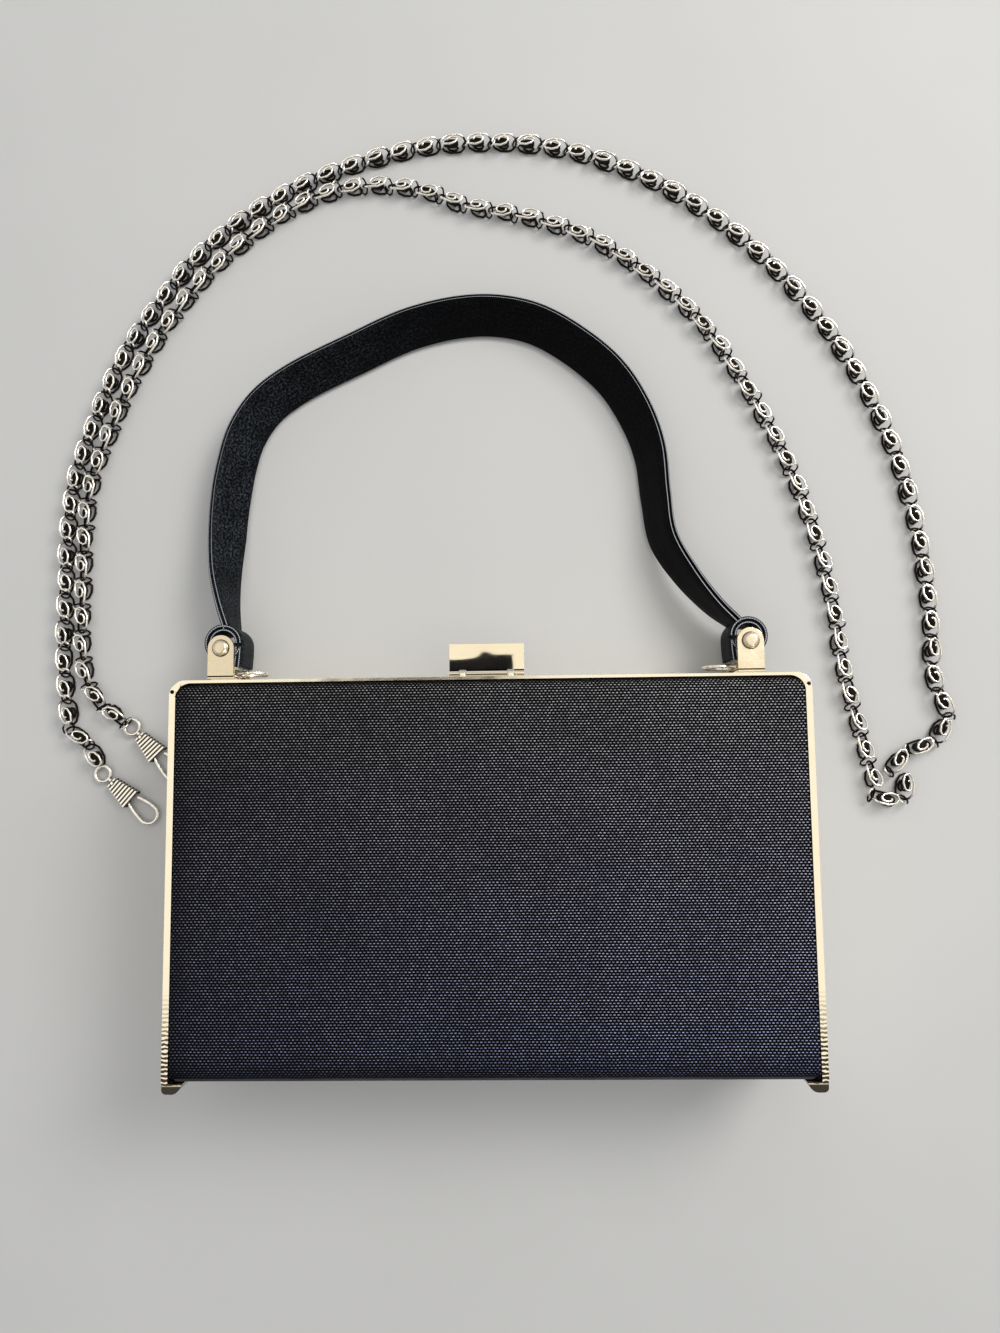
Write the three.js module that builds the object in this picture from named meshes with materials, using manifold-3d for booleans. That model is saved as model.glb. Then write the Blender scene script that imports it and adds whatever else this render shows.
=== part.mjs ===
// A hard box bag lying on its back: two cloth covered trays in metal frames, hinged along the
// bottom edge, with a flip clasp, a short strap handle and a long scroll link chain with two
// snap hooks. Millimetres. +Z out of the front, +Y towards the handle, +X to the right.
// The origin is the middle of the back panel, where the bag rests.

import * as THREE from 'three';
import { mergeVertices } from 'three/addons/utils/BufferGeometryUtils.js';
import Module from 'manifold-3d';

const wasm = await Module();
wasm.setup();

// Running clearance between neighbouring pieces
const FIT = 0.3;

// Trays: cloth over board
const PANEL_WIDTH = 196;
const PANEL_HEIGHT = 121.2;
const BOX_DEPTH = 50;
const BOARD = 2.4;
const TOP_CORNER = 4.5;
const BOTTOM_CORNER = 2.5;
const TOP_ROLL = 3.5;
const BOTTOM_ROLL = 5;

// Metal frames round the two ends and the top
const END_PLATE = 2;
const TOP_BAND = 0.9;
const FRAME_CORNER = 4.8;
const SCREW_HOLE_RADIUS = 0.6;
const SCREW_HOLE_DROP = 2.4;
const SCREW_HOLE_DEPTH = 1.2;

// Feet on the lower corners of each frame
const FOOT_DROP = 3.3;
const FOOT_WIDTH = 6.4;
const FOOT_LENGTH = 8;
const FOOT_INSET = 0.6;
const FOOT_ROUND = 1.4;

// Hinges between the frames
const KNUCKLE_RADIUS = 1.5;
const HINGE_PIN_RADIUS = 0.65;
const KNUCKLE_LENGTH = 3.4;
const HINGE_ARM = 2.4;
const LEAF_THICKNESS = 1;
const LEAF_LENGTH = 8;

// Flip clasp. It sits a little to the left of the middle.
const CLASP_X = -1.1;
const CLASP_WIDTH = 24.8;
const CLASP_BARREL_RADIUS = 1.2;
const CLASP_PIN_RADIUS = 0.5;
const CLASP_TAB = 8.8;
const CLASP_TAB_THICKNESS = 1.2;
const CLASP_SETBACK = 5;
const CLASP_BASE_WIDTH = 20;
const CLASP_BASE_DEPTH = 7;
const CLASP_BASE_THICKNESS = 0.8;
const CLASP_LUG_SPACING = 16;
const CLASP_LUG_THICKNESS = 1.6;
const TOE_WIDTH = 10;
const TOE_REACH = 8;
const TOE_THICKNESS = 0.9;
const STRIKE_DEPTH = 5;

// Handle brackets, rivets and rings. The brackets sit at this distance from the ends, and both
// are a little to the left of their even places.
const BRACKET_INSET = 10.3;
const BRACKET_OFFSET = -2.2;
const BRACKET_WIDTH = 8.9;
const BRACKET_PLATE = 1.2;
const BRACKET_FOOT_HEIGHT = 2.5;
const BRACKET_FOOT_WIDTH = 7;
const BRACKET_FOOT_TONGUE = 3.6;
const RIVET_HEIGHT = 10.4;
const RIVET_RADIUS = 1.6;
const RIVET_HEAD_RADIUS = 2.7;
const RIVET_HEAD_HEIGHT = 1.3;
// The head's dome, as shares of its radius and its height
const RIVET_DOME = [[0, 0], [1, 0], [0.9, 0.5], [0.55, 0.88], [0, 1]];
const RING_RADIUS = 5.2;
const RING_WIRE = 0.75;
const RING_HOLE_RADIUS = 1.15;
const RING_LUG_WIDTH = 3.6;
const RING_LUG_HEIGHT = 2.7;

// Strap handle
const STRAP_WIDTH = 16;
const STRAP_THICKNESS = 2.5;
const STRAP_SIDE_GAP = 1.2;
const STRAP_EYE_RADIUS = 6.5;
const STRAP_TAIL = 8;
const HANDLE_RISE = 122;
const STRAP_LEAN = THREE.MathUtils.degToRad(38);

// Chain and snap hooks
const CHAIN_RADIUS = 2.8;
const CHAIN_SIDES = 8;
const OUTER_STEPS_PER_POINT = 2;
const INNER_STEPS_PER_POINT = 1;
const FLOOR_GAP = 0.1;
const HOOK_WIRE = 0.65;
const HOOK_EYE_RADIUS = 2.75;
const HOOK_HEIGHT = 1.9;
const HOOK_SHOULDER = 1.9;
const HOOK_WAIST = 18;
const HOOK_WAIST_HALF = 2.8;
const HOOK_ARC_CENTRE = 22.3;
const HOOK_ARC_RADIUS = 3.3;
const HOOK_ARC_STEPS = 6;
const HOOK_WIRE_STEPS = 32;
const GATE_START = 4.3;
const GATE_END = 14.4;
const GATE_NARROW = 1.6;
const GATE_WIDE = 3.5;
const GATE_HEIGHT = 3.4;
const GATE_WALL = 0.6;
const GATE_PIVOT = 5.2;
const GATE_PIN_RADIUS = 0.5;
const GATE_RIBS = 8;
const RIB_PROUD = 0.25;

// Middle line of the handle from its left eye to its right eye. x is a share of half the way
// between the brackets, rise a share of HANDLE_RISE above the eyes, lean a share of STRAP_LEAN,
// and down a share of the way from the eyes' height to the floor.
const HANDLE_SECTIONS = [
  { x: -1.015, rise: 0.042, lean: 0.0, down: 0.0 },
  { x: -1.038, rise: 0.12, lean: 0.25, down: 0.15 },
  { x: -1.056, rise: 0.22, lean: 0.6, down: 0.45 },
  { x: -1.06, rise: 0.334, lean: 0.9, down: 0.85 },
  { x: -1.053, rise: 0.44, lean: 1.0, down: 1.0 },
  { x: -1.028, rise: 0.553, lean: 1.0, down: 1.0 },
  { x: -0.99, rise: 0.645, lean: 1.0, down: 1.0 },
  { x: -0.913, rise: 0.731, lean: 1.0, down: 1.0 },
  { x: -0.796, rise: 0.798, lean: 1.0, down: 1.0 },
  { x: -0.541, rise: 0.892, lean: 1.0, down: 1.0 },
  { x: -0.322, rise: 0.964, lean: 1.0, down: 1.0 },
  { x: -0.117, rise: 0.998, lean: 1.0, down: 1.0 },
  { x: 0.038, rise: 0.999, lean: 1.0, down: 1.0 },
  { x: 0.187, rise: 0.972, lean: 1.0, down: 1.0 },
  { x: 0.33, rise: 0.911, lean: 1.0, down: 1.0 },
  { x: 0.491, rise: 0.805, lean: 1.0, down: 1.0 },
  { x: 0.589, rise: 0.687, lean: 0.95, down: 1.0 },
  { x: 0.643, rise: 0.571, lean: 0.85, down: 1.0 },
  { x: 0.662, rise: 0.43, lean: 0.75, down: 0.95 },
  { x: 0.685, rise: 0.302, lean: 0.65, down: 0.75 },
  { x: 0.766, rise: 0.189, lean: 0.45, down: 0.4 },
  { x: 0.866, rise: 0.095, lean: 0.2, down: 0.15 },
  { x: 0.944, rise: 0.042, lean: 0.0, down: 0.0 },
];
const HANDLE_STEPS = 56;

// Where the chain lies on the floor: x and y of its middle line
const OUTER_STRAND = [
  [-141.9, 36.5], [-146.5, 43], [-152.5, 49], [-154.8, 60], [-156.5, 74], [-156.5, 89],
  [-156.5, 107], [-156.5, 122], [-154.5, 140], [-147.5, 164], [-138.5, 186], [-126.5, 206],
  [-110.5, 226.5], [-89.5, 244], [-65, 257], [-37.5, 266], [-8.5, 270], [26, 267],
  [59.5, 254.5], [92.5, 231.5], [122, 198], [142.5, 160], [153.5, 120.5], [157, 82],
  [157, 64], [160.5, 50], [156, 41.5], [147.5, 37.5], [142, 32.5], [145, 26], [141.5, 20.8],
  [136, 21.8], [134, 28], [132.6, 34],
];
const INNER_STRAND = [
  [132.5, 34.4], [130.5, 43], [125, 69.5], [123, 87], [119, 109],
  [113, 130], [106, 149], [95, 171], [80, 195.5], [62, 214], [40, 230], [14, 240], [-8, 245],
  [-24, 251], [-42, 253.8], [-58, 252], [-74, 245.5], [-88, 236.5], [-104, 222.5],
  [-119.5, 203.5], [-131.5, 183.5], [-141, 162], [-148, 140.5], [-150, 122], [-150.2, 105],
  [-150, 88], [-149.5, 76], [-147, 65], [-142, 57.8], [-134.3, 51.9],
];
// Where each snap hook's eye lies, and which way the hook points
const HOOKS = {
  lower: { x: -141.3, y: 32.6, turn: THREE.MathUtils.degToRad(-41) },
  upper: { x: -131.2, y: 49.4, turn: THREE.MathUtils.degToRad(-46) },
};

// Sizes worked out from the ones above
const HALF_DEPTH = BOX_DEPTH / 2;
const HALF_THICKNESS = HALF_DEPTH - FIT / 2;
const BOTTOM = -PANEL_HEIGHT / 2;
const TOP = PANEL_HEIGHT / 2;
const BAND_TOP = TOP + FIT + TOP_BAND;
const SIDE = PANEL_WIDTH / 2 + FIT + END_PLATE;
const HINGE_Y = BOTTOM - FIT - KNUCKLE_RADIUS;
const CLASP_Y = BAND_TOP + FIT + CLASP_BASE_THICKNESS + FIT + CLASP_BARREL_RADIUS;
const CLASP_Z = HALF_DEPTH + CLASP_SETBACK;
const BRACKET_X = SIDE - BRACKET_INSET;
const BRACKET_FLOOR = BAND_TOP + FIT + BRACKET_FOOT_HEIGHT;
const RIVET_Y = BRACKET_FLOOR + RIVET_HEIGHT;
const BRACKET_FRONT = HALF_DEPTH - 2 * FIT;
const BRACKET_BACK = BRACKET_FRONT - STRAP_WIDTH - 2 * (STRAP_SIDE_GAP + BRACKET_PLATE);
const EYE_Z = (BRACKET_FRONT + BRACKET_BACK) / 2;
const STRAP_EYE_HOLE = STRAP_EYE_RADIUS - STRAP_THICKNESS;
const EYE_Y = RIVET_Y + STRAP_EYE_HOLE - RIVET_RADIUS - FIT;
const RING_Y = BRACKET_FLOOR + BRACKET_PLATE + FIT + RING_WIRE;

// How finely round shapes are cut
const CIRCLE_SIDES = 24;
const SMALL_SIDES = 16;
const PIN_SIDES = 12;
const ARC_SEGMENTS = 8;
const CORNER_SEGMENTS = 6;
const FOOT_SEGMENTS = 5;
const WIRE_SIDES = 6;
const HOOK_EYE_STEPS = 18;
const WIRE_SEGMENTS = 3;

const CLOTH = { color: 0x1a1b26, roughness: 0.75, metalness: 0 };
const SATIN = { color: 0x101216, roughness: 0.6, metalness: 0 };
const POLISHED = { color: 0xd8d2c4, roughness: 0.15, metalness: 1 };
const NICKEL = { color: 0xb9b3a8, roughness: 0.3, metalness: 1 };

const bag = new THREE.Group();

function addMesh(name, geometry, look, parent = bag) {
  const mesh = new THREE.Mesh(geometry, new THREE.MeshStandardMaterial(look));
  mesh.name = name;
  parent.add(mesh);
  return mesh;
}

// Closed triangle mesh to solid and back
function toSolid(geometry) {
  const bare = geometry.clone();
  bare.deleteAttribute('normal');
  bare.deleteAttribute('uv');
  const merged = mergeVertices(bare, 1e-4);
  return new wasm.Manifold(new wasm.Mesh({
    numProp: 3,
    vertProperties: new Float32Array(merged.attributes.position.array),
    triVerts: new Uint32Array(merged.index.array),
  }));
}

function toGeometry(solid) {
  const mesh = solid.getMesh();
  const geometry = new THREE.BufferGeometry();
  geometry.setAttribute('position', new THREE.BufferAttribute(new Float32Array(mesh.vertProperties), 3));
  geometry.setIndex(new THREE.BufferAttribute(new Uint32Array(mesh.triVerts), 1));
  geometry.computeVertexNormals();
  return geometry;
}

function union(solids) {
  return solids.reduce((all, next) => all.add(next));
}

// A box from its low and high corners
function block(low, high) {
  const size = high.map((value, axis) => value - low[axis]);
  const middle = high.map((value, axis) => (value + low[axis]) / 2);
  return toSolid(new THREE.BoxGeometry(...size).translate(...middle));
}

// A round bar from start to end along one axis: 0 is X, 1 is Y, 2 is Z
function bar(radius, axis, start, end, centre, sides = SMALL_SIDES) {
  const geometry = new THREE.CylinderGeometry(radius, radius, end - start, sides);
  if (axis === 0) geometry.rotateZ(-Math.PI / 2);
  if (axis === 2) geometry.rotateX(Math.PI / 2);
  const place = [...centre];
  place[axis] = (start + end) / 2;
  return toSolid(geometry.translate(...place));
}

// An outline in X and Y pushed along Z
function plate(shape, low, high, curveSegments = ARC_SEGMENTS) {
  const geometry = new THREE.ExtrudeGeometry(shape, {
    depth: high - low,
    bevelEnabled: false,
    curveSegments,
  });
  return toSolid(geometry.translate(0, 0, low));
}

// An outline in Y and Z pushed along X
function profile(shape, low, high) {
  const geometry = new THREE.ExtrudeGeometry(shape, {
    depth: high - low,
    bevelEnabled: false,
    curveSegments: ARC_SEGMENTS,
  });
  const toSide = new THREE.Matrix4().makeBasis(
    new THREE.Vector3(0, 1, 0), new THREE.Vector3(0, 0, 1), new THREE.Vector3(1, 0, 0));
  geometry.applyMatrix4(toSide).translate(low, 0, 0);
  return toSolid(geometry);
}

// A rectangle whose upper and lower corners have their own radii
function roundedOutline(left, right, bottom, top, lowerRadius, upperRadius) {
  const shape = new THREE.Shape();
  shape.moveTo(left + lowerRadius, bottom);
  shape.lineTo(right - lowerRadius, bottom);
  shape.absarc(right - lowerRadius, bottom + lowerRadius, lowerRadius, -Math.PI / 2, 0);
  shape.lineTo(right, top - upperRadius);
  shape.absarc(right - upperRadius, top - upperRadius, upperRadius, 0, Math.PI / 2);
  shape.lineTo(left + upperRadius, top);
  shape.absarc(left + upperRadius, top - upperRadius, upperRadius, Math.PI / 2, Math.PI);
  shape.lineTo(left, bottom + lowerRadius);
  shape.absarc(left + lowerRadius, bottom + lowerRadius, lowerRadius, Math.PI, Math.PI * 1.5);
  return shape;
}

// The front half mirrors the back half about the seam between them
function asFront(solid) {
  return solid.mirror([0, 0, 1]).translate([0, 0, BOX_DEPTH]);
}

function mirrorAcross(solid, side) {
  return side > 0 ? solid : solid.mirror([1, 0, 0]);
}

// A cloth covered tray: rolled top and bottom edges, rounded corners, open at the seam
function makeTray() {
  const side = new THREE.Shape();
  side.moveTo(BOTTOM, HALF_THICKNESS);
  side.lineTo(BOTTOM, BOTTOM_ROLL);
  side.absarc(BOTTOM + BOTTOM_ROLL, BOTTOM_ROLL, BOTTOM_ROLL, Math.PI, Math.PI * 1.5);
  side.lineTo(TOP - TOP_ROLL, 0);
  side.absarc(TOP - TOP_ROLL, TOP_ROLL, TOP_ROLL, -Math.PI / 2, 0);
  side.lineTo(TOP, HALF_THICKNESS);
  const half = PANEL_WIDTH / 2;
  const plan = roundedOutline(-half, half, BOTTOM, TOP, BOTTOM_CORNER, TOP_CORNER);
  const outside = profile(side, -half, half)
    .intersect(plate(plan, 0, HALF_THICKNESS, CORNER_SEGMENTS));
  const inside = block(
    [-half + BOARD, BOTTOM + BOARD, BOARD],
    [half - BOARD, TOP - BOARD, BOX_DEPTH]);
  return outside.subtract(inside);
}

// The metal round one tray: both ends and the top in one band, with a foot at each lower corner
function makeBand() {
  const outer = roundedOutline(-SIDE, SIDE, BOTTOM, BAND_TOP, FOOT_INSET, FRAME_CORNER);
  const innerSide = PANEL_WIDTH / 2 + FIT;
  const inner = roundedOutline(
    -innerSide, innerSide, BOTTOM - PANEL_HEIGHT, TOP + FIT, TOP_CORNER, TOP_CORNER + FIT);
  let band = plate(outer, 0, HALF_THICKNESS).subtract(plate(inner, -HALF_DEPTH, BOX_DEPTH));
  const screwX = SIDE - END_PLATE / 2;
  for (const side of [-1, 1]) {
    band = band.subtract(bar(SCREW_HOLE_RADIUS, 2, -SCREW_HOLE_DEPTH, SCREW_HOLE_DEPTH,
      [side * screwX, TOP - SCREW_HOLE_DROP, 0], PIN_SIDES));
    band = band.add(mirrorAcross(makeFoot(), side));
  }
  return band;
}

// One foot, drawn for the right side: it hooks under the lower corner of the tray
function makeFoot() {
  const low = BOTTOM - FOOT_DROP;
  const shape = new THREE.Shape();
  shape.moveTo(SIDE, BOTTOM + END_PLATE);
  shape.lineTo(SIDE - END_PLATE, BOTTOM + END_PLATE);
  shape.lineTo(SIDE - END_PLATE, BOTTOM - FIT);
  shape.lineTo(SIDE - FOOT_WIDTH, BOTTOM - FIT);
  shape.quadraticCurveTo(SIDE - FOOT_WIDTH + FOOT_ROUND, low, SIDE - FOOT_WIDTH / 2, low);
  shape.lineTo(SIDE - FOOT_ROUND, low);
  shape.absarc(SIDE - FOOT_ROUND, low + FOOT_ROUND, FOOT_ROUND, -Math.PI / 2, 0);
  return plate(shape, FOOT_INSET, FOOT_INSET + FOOT_LENGTH, FOOT_SEGMENTS);
}

// A hinge knuckle on the right side. The outer ones belong to the front frame, the inner ones
// to the back frame, and one pin runs through both.
function makeKnuckle(outerEnd) {
  return bar(KNUCKLE_RADIUS, 0, outerEnd - KNUCKLE_LENGTH, outerEnd,
    [0, HINGE_Y, HALF_DEPTH], CIRCLE_SIDES);
}

function hingeBore() {
  return bar(HINGE_PIN_RADIUS + FIT, 0, -BOX_DEPTH, BOX_DEPTH,
    [0, HINGE_Y, HALF_DEPTH]).translate([SIDE, 0, 0]);
}

function makeBackFrame() {
  let frame = makeBand();
  const innerEnd = SIDE - KNUCKLE_LENGTH - FIT;
  for (const side of [-1, 1]) {
    const leafEnd = HALF_DEPTH - KNUCKLE_RADIUS - FIT;
    const leaf = block(
      [innerEnd - KNUCKLE_LENGTH, BOTTOM - FIT - LEAF_THICKNESS, leafEnd - LEAF_LENGTH],
      [SIDE, BOTTOM - FIT, leafEnd]);
    const root = block(
      [SIDE - END_PLATE, BOTTOM - FIT - LEAF_THICKNESS, leafEnd - LEAF_LENGTH],
      [SIDE, BOTTOM + END_PLATE, leafEnd]);
    const neck = block(
      [innerEnd - KNUCKLE_LENGTH, BOTTOM - FIT - LEAF_THICKNESS, leafEnd - LEAF_THICKNESS],
      [innerEnd, BOTTOM - FIT, HALF_DEPTH]);
    const hinge = union([leaf, root, neck, makeKnuckle(innerEnd)]).subtract(hingeBore());
    frame = frame.add(mirrorAcross(hinge, side));
  }
  return frame;
}

function makeFrontFrame() {
  let frame = asFront(makeBand());
  for (const side of [-1, 1]) {
    const arm = block(
      [SIDE - END_PLATE, HINGE_Y, HALF_DEPTH + FIT / 2],
      [SIDE, BOTTOM + END_PLATE, HALF_DEPTH + FIT / 2 + HINGE_ARM]);
    const hinge = arm.add(makeKnuckle(SIDE)).subtract(hingeBore());
    frame = frame.add(mirrorAcross(hinge, side));
  }
  return frame;
}

function makeHingePin(side) {
  const inner = SIDE - 2 * KNUCKLE_LENGTH - FIT;
  const pin = bar(HINGE_PIN_RADIUS, 0, inner, SIDE + FIT, [0, HINGE_Y, HALF_DEPTH], PIN_SIDES);
  const head = bar(2 * HINGE_PIN_RADIUS, 0, SIDE + FIT, SIDE + 2 * FIT, [0, HINGE_Y, HALF_DEPTH]);
  return mirrorAcross(pin.add(head), side);
}

// Clasp: the base carries two lugs, the lever's barrel turns between them
function makeClaspBase() {
  const low = BAND_TOP + FIT;
  const base = block(
    [-CLASP_BASE_WIDTH / 2, low, CLASP_Z - CLASP_BASE_DEPTH / 2],
    [CLASP_BASE_WIDTH / 2, low + CLASP_BASE_THICKNESS, CLASP_Z + CLASP_BASE_DEPTH / 2]);
  const lugs = [-1, 1].map((side) => {
    const middle = side * CLASP_LUG_SPACING / 2;
    const from = middle - CLASP_LUG_THICKNESS / 2;
    const to = middle + CLASP_LUG_THICKNESS / 2;
    return union([
      bar(CLASP_BARREL_RADIUS, 0, from, to, [0, CLASP_Y, CLASP_Z]),
      block([from, low, CLASP_Z - CLASP_BARREL_RADIUS], [to, CLASP_Y, CLASP_Z + CLASP_BARREL_RADIUS]),
    ]);
  });
  const bore = bar(CLASP_PIN_RADIUS + FIT, 0, -CLASP_WIDTH, CLASP_WIDTH, [0, CLASP_Y, CLASP_Z]);
  return union([base, ...lugs]).subtract(bore);
}

function makeClaspLever() {
  const half = CLASP_WIDTH / 2;
  const axis = [0, CLASP_Y, CLASP_Z];
  const barrel = bar(CLASP_BARREL_RADIUS, 0, -half, half, axis);
  const tab = block(
    [-half, CLASP_Y, CLASP_Z - CLASP_TAB_THICKNESS / 2],
    [half, CLASP_Y + CLASP_BARREL_RADIUS + CLASP_TAB, CLASP_Z + CLASP_TAB_THICKNESS / 2]);
  const toe = block(
    [-TOE_WIDTH / 2, CLASP_Y - CLASP_BARREL_RADIUS + FIT, CLASP_Z - TOE_REACH],
    [TOE_WIDTH / 2, CLASP_Y - CLASP_BARREL_RADIUS + FIT + TOE_THICKNESS, CLASP_Z]);
  const notches = [-1, 1].map((side) => {
    const middle = side * CLASP_LUG_SPACING / 2;
    const gap = CLASP_LUG_THICKNESS / 2 + FIT;
    return bar(CLASP_BARREL_RADIUS + FIT, 0, middle - gap, middle + gap, axis);
  });
  const bore = bar(CLASP_PIN_RADIUS + FIT, 0, -CLASP_WIDTH, CLASP_WIDTH, axis);
  return union([barrel, tab, toe]).subtract(union([bore, ...notches]));
}

function makeClaspPin() {
  const half = CLASP_WIDTH / 2 - FIT;
  return bar(CLASP_PIN_RADIUS, 0, -half, half, [0, CLASP_Y, CLASP_Z], PIN_SIDES);
}

// The strike under the lever's toe, on the back frame's band
function makeStrike() {
  const low = BAND_TOP + FIT;
  const high = CLASP_Y - CLASP_BARREL_RADIUS;
  const shoulder = (low + high) / 2;
  const front = HALF_THICKNESS - FIT;
  const shape = new THREE.Shape();
  shape.moveTo(low, front - STRIKE_DEPTH);
  shape.lineTo(shoulder, front - STRIKE_DEPTH);
  shape.lineTo(high, front - STRIKE_DEPTH / 2);
  shape.lineTo(shoulder, front);
  shape.lineTo(low, front);
  return profile(shape, -TOE_WIDTH / 2, TOE_WIDTH / 2);
}

// Clevis bracket, drawn with its middle at x = 0 and its inboard side at +X
function makeBracket() {
  const half = BRACKET_WIDTH / 2;
  const ear = new THREE.Shape();
  ear.moveTo(-half, BRACKET_FLOOR);
  ear.lineTo(half, BRACKET_FLOOR);
  ear.lineTo(half, RIVET_Y);
  ear.absarc(0, RIVET_Y, half, 0, Math.PI);
  const front = plate(ear, BRACKET_FRONT - BRACKET_PLATE, BRACKET_FRONT);
  const back = plate(ear, BRACKET_BACK, BRACKET_BACK + BRACKET_PLATE);
  const base = block(
    [-half, BRACKET_FLOOR, BRACKET_BACK],
    [half, BRACKET_FLOOR + BRACKET_PLATE, BRACKET_FRONT]);
  const low = BAND_TOP + FIT;
  const foot = new THREE.Shape();
  foot.moveTo(-BRACKET_FOOT_WIDTH / 2, low);
  foot.lineTo(half + BRACKET_FOOT_TONGUE, low);
  foot.lineTo(half + BRACKET_FOOT_TONGUE, low + BRACKET_PLATE / 2);
  foot.lineTo(half, BRACKET_FLOOR + BRACKET_PLATE / 2);
  foot.lineTo(-BRACKET_FOOT_WIDTH / 2, BRACKET_FLOOR + BRACKET_PLATE / 2);
  const footSolid = plate(foot, BRACKET_BACK + BRACKET_PLATE, BRACKET_FRONT - BRACKET_PLATE);
  const lug = block(
    [half - RING_LUG_WIDTH + RING_HOLE_RADIUS, BRACKET_FLOOR, EYE_Z - BRACKET_PLATE / 2],
    [half + RING_HOLE_RADIUS, BRACKET_FLOOR + BRACKET_PLATE + RING_LUG_HEIGHT,
      EYE_Z + BRACKET_PLATE / 2]);
  const ringHole = bar(RING_HOLE_RADIUS, 2, EYE_Z - BRACKET_PLATE, EYE_Z + BRACKET_PLATE,
    [ringHoleX(), RING_Y, 0], PIN_SIDES);
  const rivetHole = bar(RIVET_RADIUS + FIT, 2, 0, BOX_DEPTH, [0, RIVET_Y, 0], CIRCLE_SIDES);
  return union([front, back, base, footSolid, lug]).subtract(union([ringHole, rivetHole]));
}

// Where the ring passes through its lug, from the bracket's middle
function ringHoleX() {
  return BRACKET_WIDTH / 2 + RING_HOLE_RADIUS - RING_LUG_WIDTH / 2;
}

function makeRivet() {
  const seat = FIT + RIVET_HEAD_HEIGHT / 2;
  const shank = bar(RIVET_RADIUS, 2, BRACKET_BACK - seat, BRACKET_FRONT + seat,
    [0, RIVET_Y, 0], CIRCLE_SIDES);
  const head = (start, direction) => {
    const dome = new THREE.LatheGeometry(RIVET_DOME.map(([radius, height]) => new THREE.Vector2(
      radius * RIVET_HEAD_RADIUS, height * RIVET_HEAD_HEIGHT)), CIRCLE_SIDES);
    dome.rotateX(direction * Math.PI / 2);
    return toSolid(dome.translate(0, RIVET_Y, start));
  };
  return union([shank, head(BRACKET_FRONT + FIT, 1), head(BRACKET_BACK - FIT, -1)]);
}

function makeRing() {
  const torus = new THREE.TorusGeometry(RING_RADIUS, RING_WIRE, WIRE_SIDES, CIRCLE_SIDES);
  torus.rotateX(Math.PI / 2);
  return toSolid(torus.translate(ringHoleX() + RING_RADIUS, RING_Y, EYE_Z));
}

// The strap's place at share t of its middle line, with its across and through directions
function handleFrame(centreCurve, leanCurve, t) {
  const centre = centreCurve.getPoint(t);
  const tangent = centreCurve.getTangent(t);
  const outward = new THREE.Vector3(-tangent.y, tangent.x, 0).normalize();
  const lean = leanCurve.getPoint(t).x * STRAP_LEAN;
  const up = new THREE.Vector3(0, 0, 1);
  const across = up.clone().multiplyScalar(Math.cos(lean)).addScaledVector(outward, Math.sin(lean));
  const through = outward.clone().multiplyScalar(Math.cos(lean)).addScaledVector(up, -Math.sin(lean));
  return { centre, across, through };
}

// A closed solid through rings of points that all have the same number of points
function loft(rings) {
  const sides = rings[0].length;
  const positions = rings.flat().flatMap((point) => [point.x, point.y, point.z]);
  const index = [];
  for (let ring = 0; ring + 1 < rings.length; ring += 1) {
    for (let side = 0; side < sides; side += 1) {
      const next = (side + 1) % sides;
      const a = ring * sides + side;
      const b = ring * sides + next;
      index.push(a, b + sides, b, a, a + sides, b + sides);
    }
  }
  const last = (rings.length - 1) * sides;
  for (let side = 1; side + 1 < sides; side += 1) {
    index.push(0, side, side + 1);
    index.push(last, last + side + 1, last + side);
  }
  const geometry = new THREE.BufferGeometry();
  geometry.setAttribute('position', new THREE.Float32BufferAttribute(positions, 3));
  geometry.setIndex(index);
  return toSolid(geometry);
}

// The strap: a flat band on edge, leaning outwards where it lies, with an eye round each rivet
function makeStrap() {
  const lyingHeight = STRAP_WIDTH / 2 * Math.cos(STRAP_LEAN)
    + STRAP_THICKNESS / 2 * Math.sin(STRAP_LEAN) + FLOOR_GAP;
  const centres = HANDLE_SECTIONS.map((row) => new THREE.Vector3(
    row.x * BRACKET_X,
    EYE_Y + row.rise * HANDLE_RISE,
    THREE.MathUtils.lerp(EYE_Z, lyingHeight, row.down)));
  const centreCurve = new THREE.CatmullRomCurve3(centres);
  const leanCurve = new THREE.CatmullRomCurve3(
    HANDLE_SECTIONS.map((row) => new THREE.Vector3(row.lean, 0, 0)));
  const halfWidth = STRAP_WIDTH / 2;
  const halfThickness = STRAP_THICKNESS / 2;
  const edge = halfThickness / 2;
  const outline = [
    [halfWidth, -edge], [halfWidth, edge], [halfWidth - edge, halfThickness],
    [-halfWidth + edge, halfThickness], [-halfWidth, edge], [-halfWidth, -edge],
    [-halfWidth + edge, -halfThickness], [halfWidth - edge, -halfThickness],
  ];
  const rings = [];
  for (let step = 0; step <= HANDLE_STEPS; step += 1) {
    const { centre, across, through } = handleFrame(centreCurve, leanCurve, step / HANDLE_STEPS);
    rings.push(outline.map(([a, b]) => centre.clone()
      .addScaledVector(across, a).addScaledVector(through, b)));
  }
  return union([loft(rings), makeStrapEye(-1), makeStrapEye(1)]);
}

// One eye with the short cut tail that hangs on its inboard side
function makeStrapEye(side) {
  const low = EYE_Z - STRAP_WIDTH / 2;
  const high = EYE_Z + STRAP_WIDTH / 2;
  const centre = [-BRACKET_X, EYE_Y, 0];
  const eye = bar(STRAP_EYE_RADIUS, 2, low, high, centre, CIRCLE_SIDES)
    .subtract(bar(STRAP_EYE_HOLE, 2, low - FIT, high + FIT, centre, CIRCLE_SIDES));
  const tail = block(
    [-BRACKET_X + STRAP_EYE_HOLE, EYE_Y - STRAP_TAIL, low],
    [-BRACKET_X + STRAP_EYE_RADIUS - FIT, EYE_Y, high]);
  return mirrorAcross(eye.add(tail), -side).translate([BRACKET_OFFSET, 0, 0]);
}

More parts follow.
